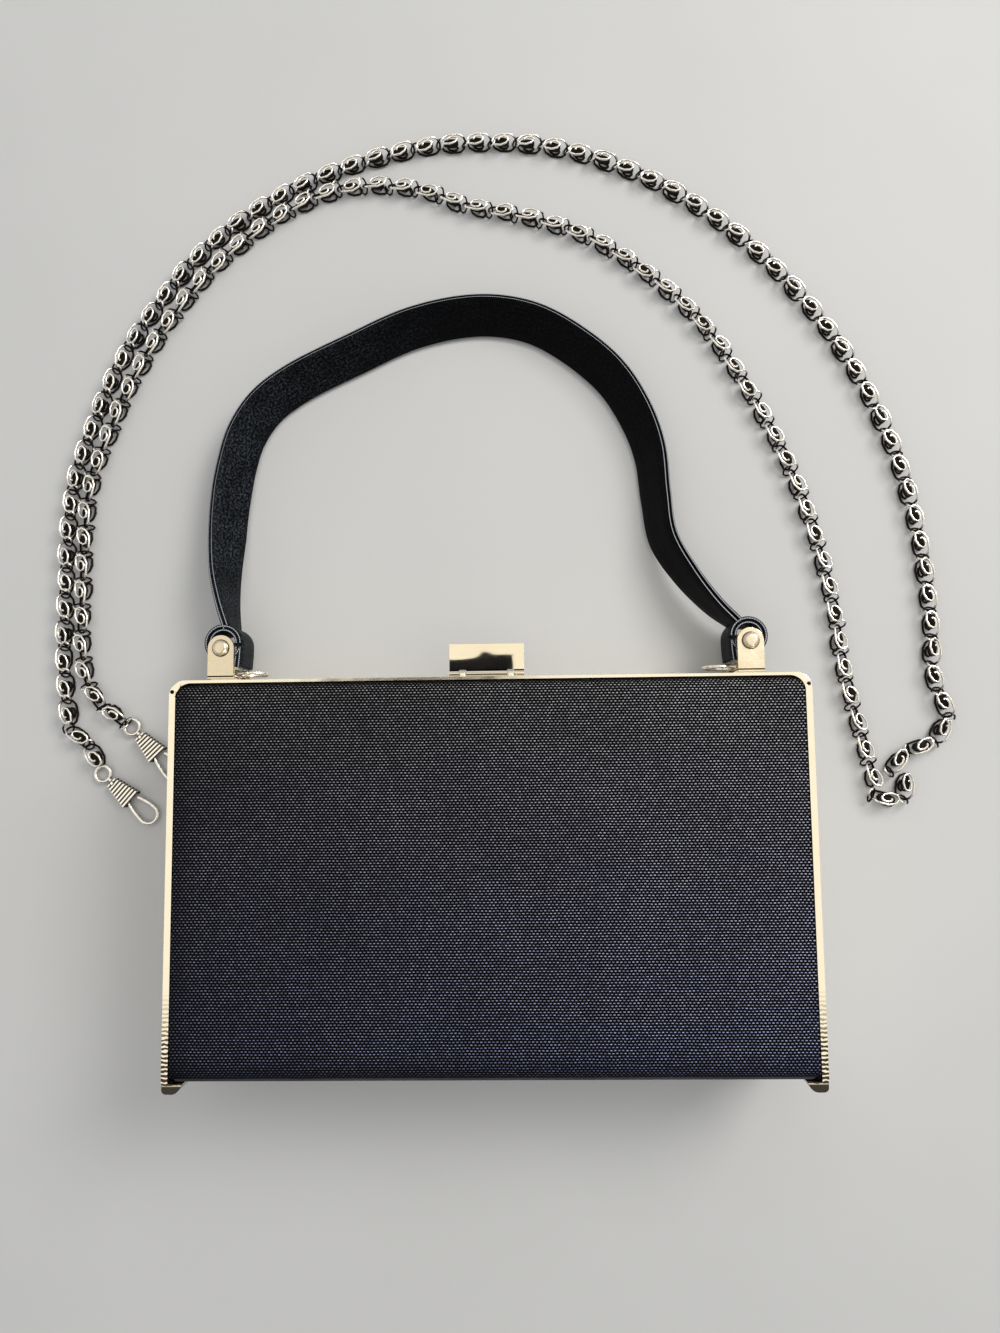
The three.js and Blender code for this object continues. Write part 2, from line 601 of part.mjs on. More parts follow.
// A curve whose even steps run from point to point, so close points give short steps
class PointToPointCurve extends THREE.CatmullRomCurve3 {
  getPointAt(share, target) {
    return this.getPoint(share, target);
  }

  getTangentAt(share, target) {
    return this.getTangent(share, target);
  }
}

// A stretch of chain, as the round bar that its links fill
function makeStrand(route, stepsPerPoint) {
  const height = CHAIN_RADIUS + FLOOR_GAP;
  const path = new PointToPointCurve(route.map(([x, y]) => new THREE.Vector3(x, y, height)));
  const steps = (route.length - 1) * stepsPerPoint;
  const section = new THREE.Shape();
  for (let side = 0; side < CHAIN_SIDES; side += 1) {
    const angle = (side + 0.5) / CHAIN_SIDES * Math.PI * 2;
    const x = CHAIN_RADIUS * Math.cos(angle);
    const y = CHAIN_RADIUS * Math.sin(angle);
    if (side === 0) section.moveTo(x, y);
    else section.lineTo(x, y);
  }
  return new THREE.ExtrudeGeometry(section, { steps, extrudePath: path, bevelEnabled: false });
}

// Snap hook, drawn with its eye at the origin and its loop along +X
function makeHookWire() {
  const eye = toSolid(
    new THREE.TorusGeometry(HOOK_EYE_RADIUS, HOOK_WIRE, WIRE_SIDES, HOOK_EYE_STEPS));
  const points = [
    [HOOK_EYE_RADIUS, 0],
    [GATE_PIVOT, 0],
    [(GATE_PIVOT + GATE_END) / 2, -HOOK_SHOULDER / 2],
    [GATE_END, -HOOK_SHOULDER],
    [HOOK_WAIST, -HOOK_WAIST_HALF],
  ];
  for (let step = 0; step <= HOOK_ARC_STEPS; step += 1) {
    const angle = -Math.PI / 2 + step / HOOK_ARC_STEPS * Math.PI;
    points.push([
      HOOK_ARC_CENTRE + HOOK_ARC_RADIUS * Math.cos(angle),
      HOOK_ARC_RADIUS * Math.sin(angle),
    ]);
  }
  points.push([HOOK_WAIST, HOOK_WAIST_HALF], [GATE_END + 3 * FIT, HOOK_SHOULDER + FIT / 2]);
  const path = new THREE.CatmullRomCurve3(points.map(([x, y]) => new THREE.Vector3(x, y, 0)));
  const section = new THREE.Shape();
  section.absarc(0, 0, HOOK_WIRE, 0, Math.PI * 2);
  const wire = toSolid(new THREE.ExtrudeGeometry(section, {
    steps: HOOK_WIRE_STEPS,
    extrudePath: path,
    bevelEnabled: false,
    curveSegments: WIRE_SEGMENTS,
  }));
  const pin = bar(
    GATE_PIN_RADIUS, 2, 0, GATE_HEIGHT / 2 + RIB_PROUD, [GATE_PIVOT, 0, 0], PIN_SIDES);
  return union([eye, wire, pin]);
}

// The ribbed thumb gate: a tapered channel open towards the floor
function makeGate() {
  const halfHeight = GATE_HEIGHT / 2;
  const taper = (inset, from, to) => {
    const shape = new THREE.Shape();
    const slope = (GATE_WIDE - GATE_NARROW) / (GATE_END - GATE_START);
    const half = (x) => GATE_NARROW + slope * (x - GATE_START) - inset;
    shape.moveTo(from, -half(from));
    shape.lineTo(to, -half(to));
    shape.lineTo(to, half(to));
    shape.lineTo(from, half(from));
    return shape;
  };
  const outside = plate(taper(0, GATE_START, GATE_END), -halfHeight, halfHeight);
  const rib = (GATE_END - GATE_START) / (2 * GATE_RIBS);
  const ribs = Array.from({ length: GATE_RIBS }, (_, count) => {
    const from = GATE_START + (2 * count + 0.5) * rib;
    return plate(taper(-RIB_PROUD, from, from + rib), -halfHeight, halfHeight + RIB_PROUD);
  });
  const channel = plate(
    taper(GATE_WALL, GATE_START - GATE_WALL, GATE_END + GATE_WALL),
    -GATE_HEIGHT, halfHeight - GATE_WALL);
  const pinHole = bar(GATE_PIN_RADIUS + FIT, 2, 0, GATE_HEIGHT, [GATE_PIVOT, 0, 0], PIN_SIDES);
  return union([outside, ...ribs]).subtract(union([channel, pinHole]));
}

addMesh('back_tray', toGeometry(makeTray()), CLOTH);
addMesh('front_tray', toGeometry(asFront(makeTray())), CLOTH);
addMesh('back_frame', toGeometry(makeBackFrame()), POLISHED);
addMesh('front_frame', toGeometry(makeFrontFrame()), POLISHED);
addMesh('hinge_pin_left', toGeometry(makeHingePin(-1)), NICKEL);
addMesh('hinge_pin_right', toGeometry(makeHingePin(1)), NICKEL);

const placeClasp = (solid) => toGeometry(solid.translate([CLASP_X, 0, 0]));
addMesh('clasp_base', placeClasp(makeClaspBase()), POLISHED);
addMesh('clasp_lever', placeClasp(makeClaspLever()), POLISHED);
addMesh('clasp_pin', placeClasp(makeClaspPin()), NICKEL);
addMesh('clasp_strike', placeClasp(makeStrike()), POLISHED);

for (const [name, side] of [['left', -1], ['right', 1]]) {
  const place = (solid) => toGeometry(
    mirrorAcross(solid, -side).translate([side * BRACKET_X + BRACKET_OFFSET, 0, 0]));
  addMesh(`handle_bracket_${name}`, place(makeBracket()), POLISHED);
  addMesh(`handle_rivet_${name}`, place(makeRivet()), POLISHED);
  addMesh(`chain_ring_${name}`, place(makeRing()), NICKEL);
}

addMesh('handle_strap', toGeometry(makeStrap()), SATIN);
addMesh('chain_outer', makeStrand(OUTER_STRAND, OUTER_STEPS_PER_POINT), NICKEL);
addMesh('chain_inner', makeStrand(INNER_STRAND, INNER_STEPS_PER_POINT), NICKEL);

for (const [name, hook] of Object.entries(HOOKS)) {
  const group = new THREE.Group();
  group.position.set(hook.x, hook.y, HOOK_HEIGHT);
  group.rotation.z = hook.turn;
  bag.add(group);
  addMesh(`snap_hook_${name}`, toGeometry(makeHookWire()), NICKEL, group);
  addMesh(`snap_gate_${name}`, toGeometry(makeGate()), NICKEL, group);
}

export default bag;
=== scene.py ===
# %% [markdown]
# # A hard box bag with a strap handle and a loose scroll chain
#
# The bag lies on its back. Two board trays covered in dark woven cloth sit in polished metal
# frames, which are hinged along the bottom edge and closed by a flip clasp at the top. The
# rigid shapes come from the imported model, which this lesson loads first and never moves. Each
# cell then makes one piece or one finish in the same place and at the same scale.
# +X is to the right, +Y towards the handle and +Z out of the front panel. Numbers that give
# sizes on the bag are in millimetres, and MM turns them into metres.

import math

import bmesh
import bpy
from mathutils import Euler, Matrix, Vector


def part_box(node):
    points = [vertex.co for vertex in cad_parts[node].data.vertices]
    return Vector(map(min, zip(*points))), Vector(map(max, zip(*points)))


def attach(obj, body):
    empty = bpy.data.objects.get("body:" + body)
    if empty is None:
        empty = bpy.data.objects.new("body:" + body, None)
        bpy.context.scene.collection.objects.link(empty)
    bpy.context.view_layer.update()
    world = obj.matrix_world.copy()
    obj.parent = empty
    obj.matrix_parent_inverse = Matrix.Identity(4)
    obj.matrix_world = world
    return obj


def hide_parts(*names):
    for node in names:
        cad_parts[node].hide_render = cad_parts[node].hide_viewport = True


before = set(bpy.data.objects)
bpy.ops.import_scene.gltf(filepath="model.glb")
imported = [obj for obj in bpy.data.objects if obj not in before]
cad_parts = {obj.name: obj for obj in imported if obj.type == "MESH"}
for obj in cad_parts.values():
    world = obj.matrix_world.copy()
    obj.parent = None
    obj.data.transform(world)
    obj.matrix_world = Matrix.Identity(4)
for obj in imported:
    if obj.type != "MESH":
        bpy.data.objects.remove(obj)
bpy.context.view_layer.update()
MM = 0.001

# %% [markdown]
# ## The camera
#
# The bag is seen from straight above, from a little towards its lower edge. A camera that looks
# along its own -Z needs almost no turn for that: only the few degrees that the picture shows.

# %% Camera above the bag
CAMERA_PLACE = (11.51, 34.66, 354.67)
CAMERA_TURN = (5.63, 1.51, -0.67)
CAMERA_LENS = 26.49
SENSOR_WIDTH = 36
NEAREST_SEEN = 10

camera = bpy.data.objects.new("camera", bpy.data.cameras.new("camera"))
bpy.context.scene.collection.objects.link(camera)
camera.location = [c * MM for c in CAMERA_PLACE]
camera.rotation_euler = Euler([math.radians(a) for a in CAMERA_TURN], "XYZ")
camera.data.lens = CAMERA_LENS
camera.data.sensor_width = SENSOR_WIDTH
camera.data.clip_start = NEAREST_SEEN * MM
bpy.context.scene.camera = camera
print("camera height in mm:", round(camera.location.z / MM, 1))

# %% [markdown]
# ## Helpers for modelling by hand
#
# An operator acts on everything that is selected, and the loaded model arrives selected. So each
# helper first selects one piece alone. A finished piece keeps its place in its mesh, with its
# object at the origin, so every new piece is settled as soon as it is added.


# %% Select one piece, and settle it at the origin
def only(piece):
    bpy.ops.object.select_all(action="DESELECT")
    piece.select_set(True)
    bpy.context.view_layer.objects.active = piece
    return piece


def settle(piece):
    only(piece)
    bpy.ops.object.transform_apply(location=True, rotation=True, scale=True)
    return piece


# %% Add a block between two corners
def add_block(name, low, high):
    middle = [(a + b) / 2 * MM for a, b in zip(low, high)]
    bpy.ops.object.select_all(action="DESELECT")
    bpy.ops.mesh.primitive_cube_add(size=1, location=middle)
    piece = bpy.context.object
    piece.name = name
    piece.scale = [(b - a) * MM for a, b in zip(low, high)]
    return settle(piece)


# %% Add a round bar along Z
def add_bar(name, radius, length, middle, sides=48):
    bpy.ops.object.select_all(action="DESELECT")
    bpy.ops.mesh.primitive_cylinder_add(
        vertices=sides,
        radius=radius * MM,
        depth=length * MM,
        location=[c * MM for c in middle],
    )
    piece = bpy.context.object
    piece.name = name
    return settle(piece)


# %% Pick edges or faces by their place
def pick(piece, kind, test):
    """Opens the piece for editing with the edges, or faces, that pass a test in millimetres."""
    only(piece)
    bpy.ops.object.mode_set(mode="EDIT")
    bpy.ops.mesh.select_mode(type=kind)
    bpy.ops.mesh.select_all(action="DESELECT")
    mesh = bmesh.from_edit_mesh(piece.data)
    if kind == "EDGE":
        for edge in mesh.edges:
            edge.select_set(test(edge.verts[0].co / MM, edge.verts[1].co / MM))
    else:
        for face in mesh.faces:
            face.select_set(test(face.calc_center_median() / MM, face.normal))
    bmesh.update_edit_mesh(piece.data)


def close_edit():
    bpy.ops.object.mode_set(mode="OBJECT")


# %% Finish with a modifier, smooth shading and a join
def modify(piece, kind, **settings):
    only(piece)
    modifier = piece.modifiers.new(kind, kind)
    for setting, value in settings.items():
        setattr(modifier, setting, value)
    bpy.ops.object.modifier_apply(modifier=modifier.name)
    return piece


def soften(piece, width, angle=35):
    """Rounds the sharp edges a little, so that they catch the light, and keeps flat faces flat."""
    modify(
        piece,
        "BEVEL",
        width=width * MM,
        segments=2,
        limit_method="ANGLE",
        angle_limit=math.radians(angle),
        use_clamp_overlap=True,
    )
    smooth(piece, 50)
    return modify(piece, "WEIGHTED_NORMAL", keep_sharp=True)


def smooth(piece, angle=35):
    only(piece)
    bpy.ops.object.shade_smooth_by_angle(angle=math.radians(angle))
    return piece


def join(pieces, name):
    only(pieces[0])
    for piece in pieces[1:]:
        piece.select_set(True)
    bpy.ops.object.join()
    pieces[0].name = name
    return pieces[0]


# %% Copy a node of the model as a piece that can be shaped further
MERGE_DISTANCE = 0.002


def copy_node(node, name):
    """A merged copy of a node's mesh, with pairs of triangles made into quads."""
    piece = bpy.data.objects.new(name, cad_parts[node].data.copy())
    bpy.context.scene.collection.objects.link(piece)
    piece.data.materials.clear()
    only(piece)
    if piece.data.has_custom_normals:
        bpy.ops.mesh.customdata_custom_splitnormals_clear()
    bpy.ops.object.mode_set(mode="EDIT")
    bpy.ops.mesh.select_all(action="SELECT")
    bpy.ops.mesh.remove_doubles(threshold=MERGE_DISTANCE * MM)
    bpy.ops.mesh.tris_convert_to_quads()
    close_edit()
    return piece


# %% Finish a piece: material, body and the nodes that it stands for
def dress(piece, material, body, nodes=()):
    if material is not None:
        piece.data.materials.clear()
        piece.data.materials.append(material)
    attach(piece, body)
    if nodes:
        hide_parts(*nodes)
    print(piece.name, "has", len(piece.data.polygons), "faces")
    return piece


# %% [markdown]
# ## Sizes of the case
#
# The trays and the cloth's pattern both need these.

# %% Sizes of the case
HALF_WIDTH = 98.0
HALF_HEIGHT = 60.6
TRAY_DEPTH = 24.85
CASE_DEPTH = 50.0
TOP_ROLL = 3.5
BOTTOM_ROLL = 5.0
TOP_CORNER = 4.5
BOTTOM_CORNER = 2.5
BOARD = 2.4


# %% [markdown]
# ## Materials
#
# Each finish is made of nodes. Patterns are measured in millimetres on the piece itself: the
# woven cloth, the strap and the ribs of the hooks' gates have UV maps laid out in real size, and
# everything else reads Object coordinates. A small helper adds a node, sets its inputs and links
# it.


# %% Helpers for building a material from nodes
def start_material(name, **sockets):
    material = bpy.data.materials.new(name)
    material.use_nodes = True
    shader = material.node_tree.nodes["Principled BSDF"]
    for socket, value in sockets.items():
        shader.inputs[socket.replace("_", " ")].default_value = value
    return material, shader


def add(material, kind, settings=None, **sockets):
    """Adds a node. A socket's value is a number, a colour or another node's output."""
    node = material.node_tree.nodes.new("ShaderNode" + kind)
    for setting, value in (settings or {}).items():
        setattr(node, setting, value)
    for socket, value in sockets.items():
        plug(material, value, node.inputs[socket.replace("_", " ")])
    return node


def plug(material, value, socket):
    if isinstance(value, bpy.types.NodeSocket):
        material.node_tree.links.new(value, socket)
    else:
        socket.default_value = value


def place_in_mm(material, uv_map=None, scale=(1, 1, 1)):
    """Coordinates in millimetres: from a UV map by name, or else from the piece's own space."""
    if uv_map:
        source = add(material, "UVMap", {"uv_map": uv_map}).outputs["UV"]
    else:
        source = add(material, "TexCoord").outputs["Object"]
    mapping = add(material, "Mapping", Vector=source)
    mapping.inputs["Scale"].default_value = [s / MM for s in scale]
    return mapping.outputs["Vector"]


def noise(material, where, scale, detail=3.0, roughness=0.5):
    node = add(material, "TexNoise", Vector=where, Scale=scale, Detail=detail)
    node.inputs["Roughness"].default_value = roughness
    return node.outputs["Fac"]


def spread(material, value, low, high, new_low=0.0, new_high=1.0):
    node = add(material, "MapRange", {"clamp": True}, Value=value)
    for socket, number in zip(
        ("From Min", "From Max", "To Min", "To Max"), (low, high, new_low, new_high)
    ):
        node.inputs[socket].default_value = number
    return node.outputs["Result"]


def blend(material, share, first, second):
    node = add(material, "Mix", {"data_type": "RGBA"})
    plug(material, share, node.inputs[0])
    plug(material, first, node.inputs[6])
    plug(material, second, node.inputs[7])
    return node.outputs[2]


def calculate(material, operation, first, second):
    node = add(material, "Math", {"operation": operation})
    plug(material, first, node.inputs[0])
    plug(material, second, node.inputs[1])
    return node.outputs[0]


def distance(material, value, middle):
    return calculate(
        material, "ABSOLUTE", calculate(material, "SUBTRACT", value, middle), 0.0
    )


def emboss(material, shader, height, depth, strength=1.0):
    node = add(material, "Bump", Height=height, Distance=depth * MM, Strength=strength)
    material.node_tree.links.new(node.outputs["Normal"], shader.inputs["Normal"])


# %% [markdown]
# ### Woven cloth
#
# The panels are covered in a near-black navy cloth. A pale weft thread shows as short specks,
# about a millimetre apart, and each row is shifted by half a speck. A brick pattern is just that:
# the bricks are the specks and the mortar is the dark warp. Its colour differs from brick to
# brick, and the same pattern raises the specks in the bump. The specks also carry a painted
# sheen: they are brighter towards the right and bluer towards the bottom. In bands along the
# bottom and left edges they are darkened, which is painted shade.

# %% Cloth material
SPECK_PITCH = 1.2
SPECK_ROW = 0.86
SPECK_START = 0.62
SPECK_SHADES = (0.58, 1.4)
BRICK_SCALE = 0.2
THREAD_WANDER = (0.25, 0.35, 0)
WARP_COLOUR = (0.0008, 0.0009, 0.0022, 1)
WEFT_AT_TOP = (0.62, 0.6, 0.6, 1)
WEFT_AT_BOTTOM = (0.41, 0.44, 0.72, 1)
LOW_EDGE_SHADE = 9
LEFT_EDGE_SHADE = 7


def make_cloth():
    material, shader = start_material("woven_cloth", Specular_IOR_Level=0.08)
    where = place_in_mm(material, uv_map="cloth")
    wobble = add(material, "TexNoise", Vector=where, Scale=0.25)
    shifted = add(material, "VectorMath", {"operation": "MULTIPLY_ADD"})
    plug(material, wobble.outputs["Color"], shifted.inputs[0])
    shifted.inputs[1].default_value = THREAD_WANDER
    plug(material, where, shifted.inputs[2])
    dull, bright = SPECK_SHADES
    weave = add(
        material,
        "TexBrick",
        {"offset": 0.5, "offset_frequency": 2},
        Vector=shifted.outputs[0],
        Color1=(dull, dull, dull, 1),
        Color2=(bright, bright, bright, 1),
        Mortar=(0, 0, 0, 1),
        Scale=BRICK_SCALE,
    )
    weave.inputs["Brick Width"].default_value = SPECK_PITCH * BRICK_SCALE
    weave.inputs["Row Height"].default_value = SPECK_ROW * BRICK_SCALE
    weave.inputs["Mortar Size"].default_value = 0.5 * SPECK_ROW * BRICK_SCALE
    weave.inputs["Mortar Smooth"].default_value = 1.0
    weave.inputs["Bias"].default_value = -0.3
    raised = calculate(material, "SUBTRACT", 1.0, weave.outputs["Fac"])
    speck = spread(material, raised, SPECK_START, 1.0)
    speck = calculate(material, "MULTIPLY", speck, weave.outputs["Color"])
    parts = add(material, "SeparateXYZ", Vector=where)
    across, up = parts.outputs["X"], parts.outputs["Y"]
    # A random cloudiness, then a painted sheen that brightens the specks towards the right, then
    # painted shade in bands along the bottom and left edges.
    for shade in (
        spread(material, noise(material, where, 0.03, 4), 0.3, 0.7, 0.85, 1.15),
        spread(material, across, -HALF_WIDTH, HALF_WIDTH, 0.5, 1.15),
        spread(material, up, -HALF_HEIGHT, LOW_EDGE_SHADE - HALF_HEIGHT, 0.2, 1.0),
        spread(material, across, -HALF_WIDTH, LEFT_EDGE_SHADE - HALF_WIDTH, 0.45, 1.0),
    ):
        speck = calculate(material, "MULTIPLY", speck, shade)
    # Painted sheen tint: the specks turn from grey at the top to blue at the bottom.
    bluer = spread(material, up, HALF_HEIGHT, -HALF_HEIGHT)
    weft = blend(material, bluer, WEFT_AT_TOP, WEFT_AT_BOTTOM)
    plug(material, blend(material, speck, WARP_COLOUR, weft), shader.inputs["Base Color"])
    emboss(material, shader, raised, 0.12, 0.9)
    rough = spread(material, raised, 0.0, 1.0, 0.78, 0.5)
    plug(material, rough, shader.inputs["Roughness"])
    return material


cloth = make_cloth()
print("specks per square centimetre:", round(100 / (SPECK_PITCH * SPECK_ROW)))

# %% [markdown]
# ### Lining
#
# The inside of the trays isn't seen while the bag is closed. It gets a plain dark fine cloth, so
# that it looks right when the bag opens.


# %% Lining material
LINING_ROUGHNESS = 0.85
LINING_DARK = (0.005, 0.005, 0.008, 1)
LINING_PALE = (0.04, 0.04, 0.052, 1)


def make_lining():
    material, shader = start_material("dark_lining", Roughness=LINING_ROUGHNESS)
    where = place_in_mm(material)
    grain = noise(material, where, 3.0, 4)
    brushed = spread(material, noise(material, where, 0.06, 5), 0.35, 0.65, 0.45, 1.5)
    nap = calculate(material, "MULTIPLY", brushed, grain)
    colour = blend(material, nap, LINING_DARK, LINING_PALE)
    plug(material, colour, shader.inputs["Base Color"])
    emboss(material, shader, grain, 0.05, 0.6)
    return material


lining = make_lining()
print("lining roughness:", LINING_ROUGHNESS)

# %% [markdown]
# ### Strap
#
# The strap is two plies of black satin-faced ribbon. Its faces have a weave too fine to draw,
# whose blue-grey specks come from noise. Between 50 and 160 mm along the handle the specks fade
# out. Along both edges the plies' folded rims carry two pale dotted lines with a dark groove
# between them. The lines are partly pale edge thread and partly a painted highlight on the rims.
# The UV map gives the way along the strap and the way round its section, both in real size, so
# the lines can be painted by their place in the section.

# %% Strap material
RIM_PITCH = 0.75
SATIN_DARK = (0.0008, 0.0009, 0.0012, 1)
SATIN_PALE = (0.07, 0.085, 0.105, 1)
RIM_THREAD_AND_HIGHLIGHT = (0.62, 0.64, 0.68, 1)
SPECK_FADE_SPAN = (50, 160)


def make_satin(name, rims):
    """rims holds (middle, half width, strength) of each pale line, measured round the section."""
    material, shader = start_material(name, Roughness=0.5, Specular_IOR_Level=0.05)
    where = place_in_mm(material, uv_map="strap")
    parts = add(material, "SeparateXYZ", Vector=where)
    along, around = parts.outputs["X"], parts.outputs["Y"]
    specks = spread(material, noise(material, where, 1.1, 3, 0.7), 0.46, 0.72)
    patches = spread(material, noise(material, where, 0.12, 2), 0.35, 0.65, 0.5, 1.0)
    # The specks fade out between these lengths along the strap.
    fading = spread(material, along, *SPECK_FADE_SPAN, 1.0, 0.12)
    faded_patches = calculate(material, "MULTIPLY", patches, fading)
    weave = calculate(material, "MULTIPLY", specks, faded_patches)
    turns = calculate(material, "MULTIPLY", along, math.tau / RIM_PITCH)
    dotted = calculate(material, "SINE", turns, 0.0)
    dots = spread(material, dotted, -0.6, 0.5, 0.35, 1.0)
    # Pale lines on the rims' crests: partly pale edge thread, partly a painted highlight.
    lines = 0.0
    for middle, half_width, strength in rims:
        away = distance(material, around, middle)
        line = spread(material, away, half_width * 0.6, half_width, strength, 0.0)
        lines = line if lines == 0.0 else calculate(material, "MAXIMUM", lines, line)
    pale = calculate(material, "MULTIPLY", lines, dots)
    ground = blend(material, weave, SATIN_DARK, SATIN_PALE)
    colour = blend(material, pale, ground, RIM_THREAD_AND_HIGHLIGHT)
    plug(material, colour, shader.inputs["Base Color"])
    height = calculate(material, "ADD", weave, pale)
    emboss(material, shader, height, 0.08, 0.7)
    return material


# %% [markdown]
# ### Metals
#
# There are two kinds of metal. The frames, brackets and clasp are polished with a faint champagne
# tint and a slight waviness, which breaks up what they reflect. On them shade is painted in as dark
# colour by place: in creases and gaps, round the rivets, in the screw holes and on the frames'
# feet.
# Dark streaks run up the front rim of the frames' lower ends, as a painted reflection of the floor.
# The chain and hooks are antiqued silver, bright on top and dark low down. This is partly the real
# oxide in the hollows, and partly a painted highlight on the tops with painted shade below.


# %% Painted shade round a rivet or in a screw hole
PAINTED_DARK = (0.012, 0.009, 0.007, 1)


def shade_ring(material, parts, middle_x, reach, y, inner, outer):
    """A ring at the same distance to both sides of a middle line, or a spot if inner is 0."""
    across = distance(material, parts.outputs["X"], middle_x)
    across = calculate(material, "SUBTRACT", across, reach)
    up = calculate(material, "SUBTRACT", parts.outputs["Y"], y)
    squares = [calculate(material, "POWER", length, 2) for length in (across, up)]
    away = calculate(material, "SQRT", calculate(material, "ADD", *squares), 0)
    shade_mask = spread(material, away, outer - 0.1, outer + 0.1, 1.0, 0.0)
    if inner:
        past = spread(material, away, inner - 0.1, inner + 0.1)
        shade_mask = calculate(material, "MULTIPLY", shade_mask, past)
    return shade_mask


# %% Painted shade on the feet, and a painted reflection in streaks up the lower ends of the strips
STREAK_HEIGHTS = (12, 28)
DENSE_HEIGHT = 16


def foot_shade_and_reflection(material, where, parts, start):
    """Dark below a height along Y, with streaks up the front rim that fade out above it."""
    feet = spread(material, parts.outputs["Y"], start - 0.5, start, 0.96, 0.0)
    streaks = add(
        material,
        "TexWave",
        {"wave_type": "BANDS", "bands_direction": "Y"},
        Vector=where,
        Scale=0.24,
        Distortion=3.0,
    )
    streaks.inputs["Detail Scale"].default_value = 2.5
    denser = spread(material, parts.outputs["Y"], start, start + DENSE_HEIGHT, 0.3, 0.0)
    streaky = calculate(material, "ADD", streaks.outputs["Fac"], denser)
    marks = spread(material, streaky, 0.5, 0.6, 0.0, 0.95)
    low, high = (start + height for height in STREAK_HEIGHTS)
    fading = spread(material, parts.outputs["Y"], low, high, 1.0, 0.0)
    on_rim = spread(material, parts.outputs["Z"], CASE_DEPTH - 1.2, CASE_DEPTH - 0.6)
    marks = calculate(material, "MULTIPLY", marks, calculate(material, "MULTIPLY", fading, on_rim))
    return calculate(material, "MAXIMUM", feet, marks)


# %% Polished metal
def make_polished(
    name, tint, waviness, roughness, wave_scale=0.16, creases=(), spots=(), shaded_below=None
):
    """Painted shade in creases (middle and half width, along Y), in round spots and low down, with
    a painted floor reflection in streaks.
    """
    material, shader = start_material(name, Metallic=1.0, Roughness=roughness)
    where = place_in_mm(material)
    brushed = noise(material, place_in_mm(material, scale=(0.4, 8, 8)), 1.0, 3)
    smudges = noise(material, where, 0.12, 3)
    darker = [c * 0.86 for c in tint] + [1]
    colour = blend(material, smudges, darker, [*tint, 1])
    parts = add(material, "SeparateXYZ", Vector=where)
    for middle, half_width in creases:
        away = distance(material, parts.outputs["Y"], middle)
        shade_mask = spread(material, away, half_width * 0.6, half_width, 1.0, 0.0)
        colour = blend(material, shade_mask, colour, PAINTED_DARK)
    for spot in spots:
        colour = blend(material, shade_ring(material, parts, *spot), colour, PAINTED_DARK)
    if shaded_below:
        colour = blend(material, foot_shade_and_reflection(material, where, parts, shaded_below), colour, PAINTED_DARK)
    plug(material, colour, shader.inputs["Base Color"])
    marks = calculate(material, "ADD", brushed, smudges)
    rough = spread(material, marks, 0.6, 1.4, roughness * 0.6, roughness * 1.6)
    plug(material, rough, shader.inputs["Roughness"])
    emboss(material, shader, noise(material, where, wave_scale, 1, 0.4), waviness)
    return material


# %% Metals of the frames, the clasp and the brackets
CHAMPAGNE = (0.93, 0.88, 0.76)
CLASP_TINT = (0.9, 0.83, 0.68)
BRACKET_TINT = (0.77, 0.69, 0.54)
# The screw spot and the rivet ring are painted shade: in the screw holes and in the gap round each
# rivet head.
# middle line, distance to its sides, height along Y, inner and outer radius
SCREW_SPOT = (0.0, 99.3, 58.2, 0.0, 0.62)
RIVET_RING = (-2.2, 90.0, 75.0, 2.72, 3.0)
FOOT_TOP = -61.2

polished = make_polished("polished_frame", CHAMPAGNE, 0.06, 0.14)
frame_metal = make_polished(
    "polished_strip", CHAMPAGNE, 0.06, 0.14, spots=[SCREW_SPOT], shaded_below=FOOT_TOP
)
# The creases below are painted shade in the clasp's gaps and in the brackets' folds.
clasp_metal = make_polished(
    "polished_clasp",
    CLASP_TINT,
    0.1,
    0.025,
    0.08,
    creases=[(65.55, 0.33), (64.1, 0.14), (63.3, 0.28)],
)
ear_metal = make_polished(
    "satin_bracket",
    BRACKET_TINT,
    0.03,
    0.24,
    creases=[(65.3, 0.3), (62.9, 0.5)],
    spots=[RIVET_RING],
)
print("metal finishes:", [m.name for m in (polished, frame_metal, clasp_metal, ear_metal)])


# %% Antiqued silver
SILVER_DARK = (0.02, 0.016, 0.013, 1)
SILVER_BRIGHT = (0.95, 0.92, 0.86, 1)
RIB_PITCH = 1.2625


def make_antique(name, low, high, rib_pitch=None):
    """Dark below low and bright above high, heights above the floor in millimetres."""
    material, shader = start_material(name, Metallic=1.0, Roughness=0.28)
    where = place_in_mm(material)
    height = add(material, "SeparateXYZ", Vector=where).outputs["Z"]
    patches = spread(material, noise(material, where, 0.9, 3), 0.3, 0.7, -0.35, 0.35)
    # Bright tops and dark low parts: partly oxide in the hollows, partly a painted highlight on top
    # with painted shade below.
    polish_and_highlight = spread(material, calculate(material, "ADD", height, patches), low, high)
    # The grooves between the gate's ribs are painted dark: partly oxide, partly painted shade.
    if rib_pitch:
        along = add(material, "SeparateXYZ", Vector=place_in_mm(material, "gate")).outputs["X"]
        turned = calculate(material, "MULTIPLY", along, math.tau / rib_pitch)
        ribs = spread(material, calculate(material, "COSINE", turned, 0), -0.5, 0.6, 1.0, 0.05)
        polish_and_highlight = calculate(material, "MULTIPLY", polish_and_highlight, ribs)
    colour = blend(material, polish_and_highlight, SILVER_DARK, SILVER_BRIGHT)
    plug(material, colour, shader.inputs["Base Color"])
    rough = spread(material, polish_and_highlight, 0.0, 1.0, 0.55, 0.22)
    plug(material, rough, shader.inputs["Roughness"])
    emboss(material, shader, noise(material, where, 2.2, 3), 0.03, 0.5)
    return material


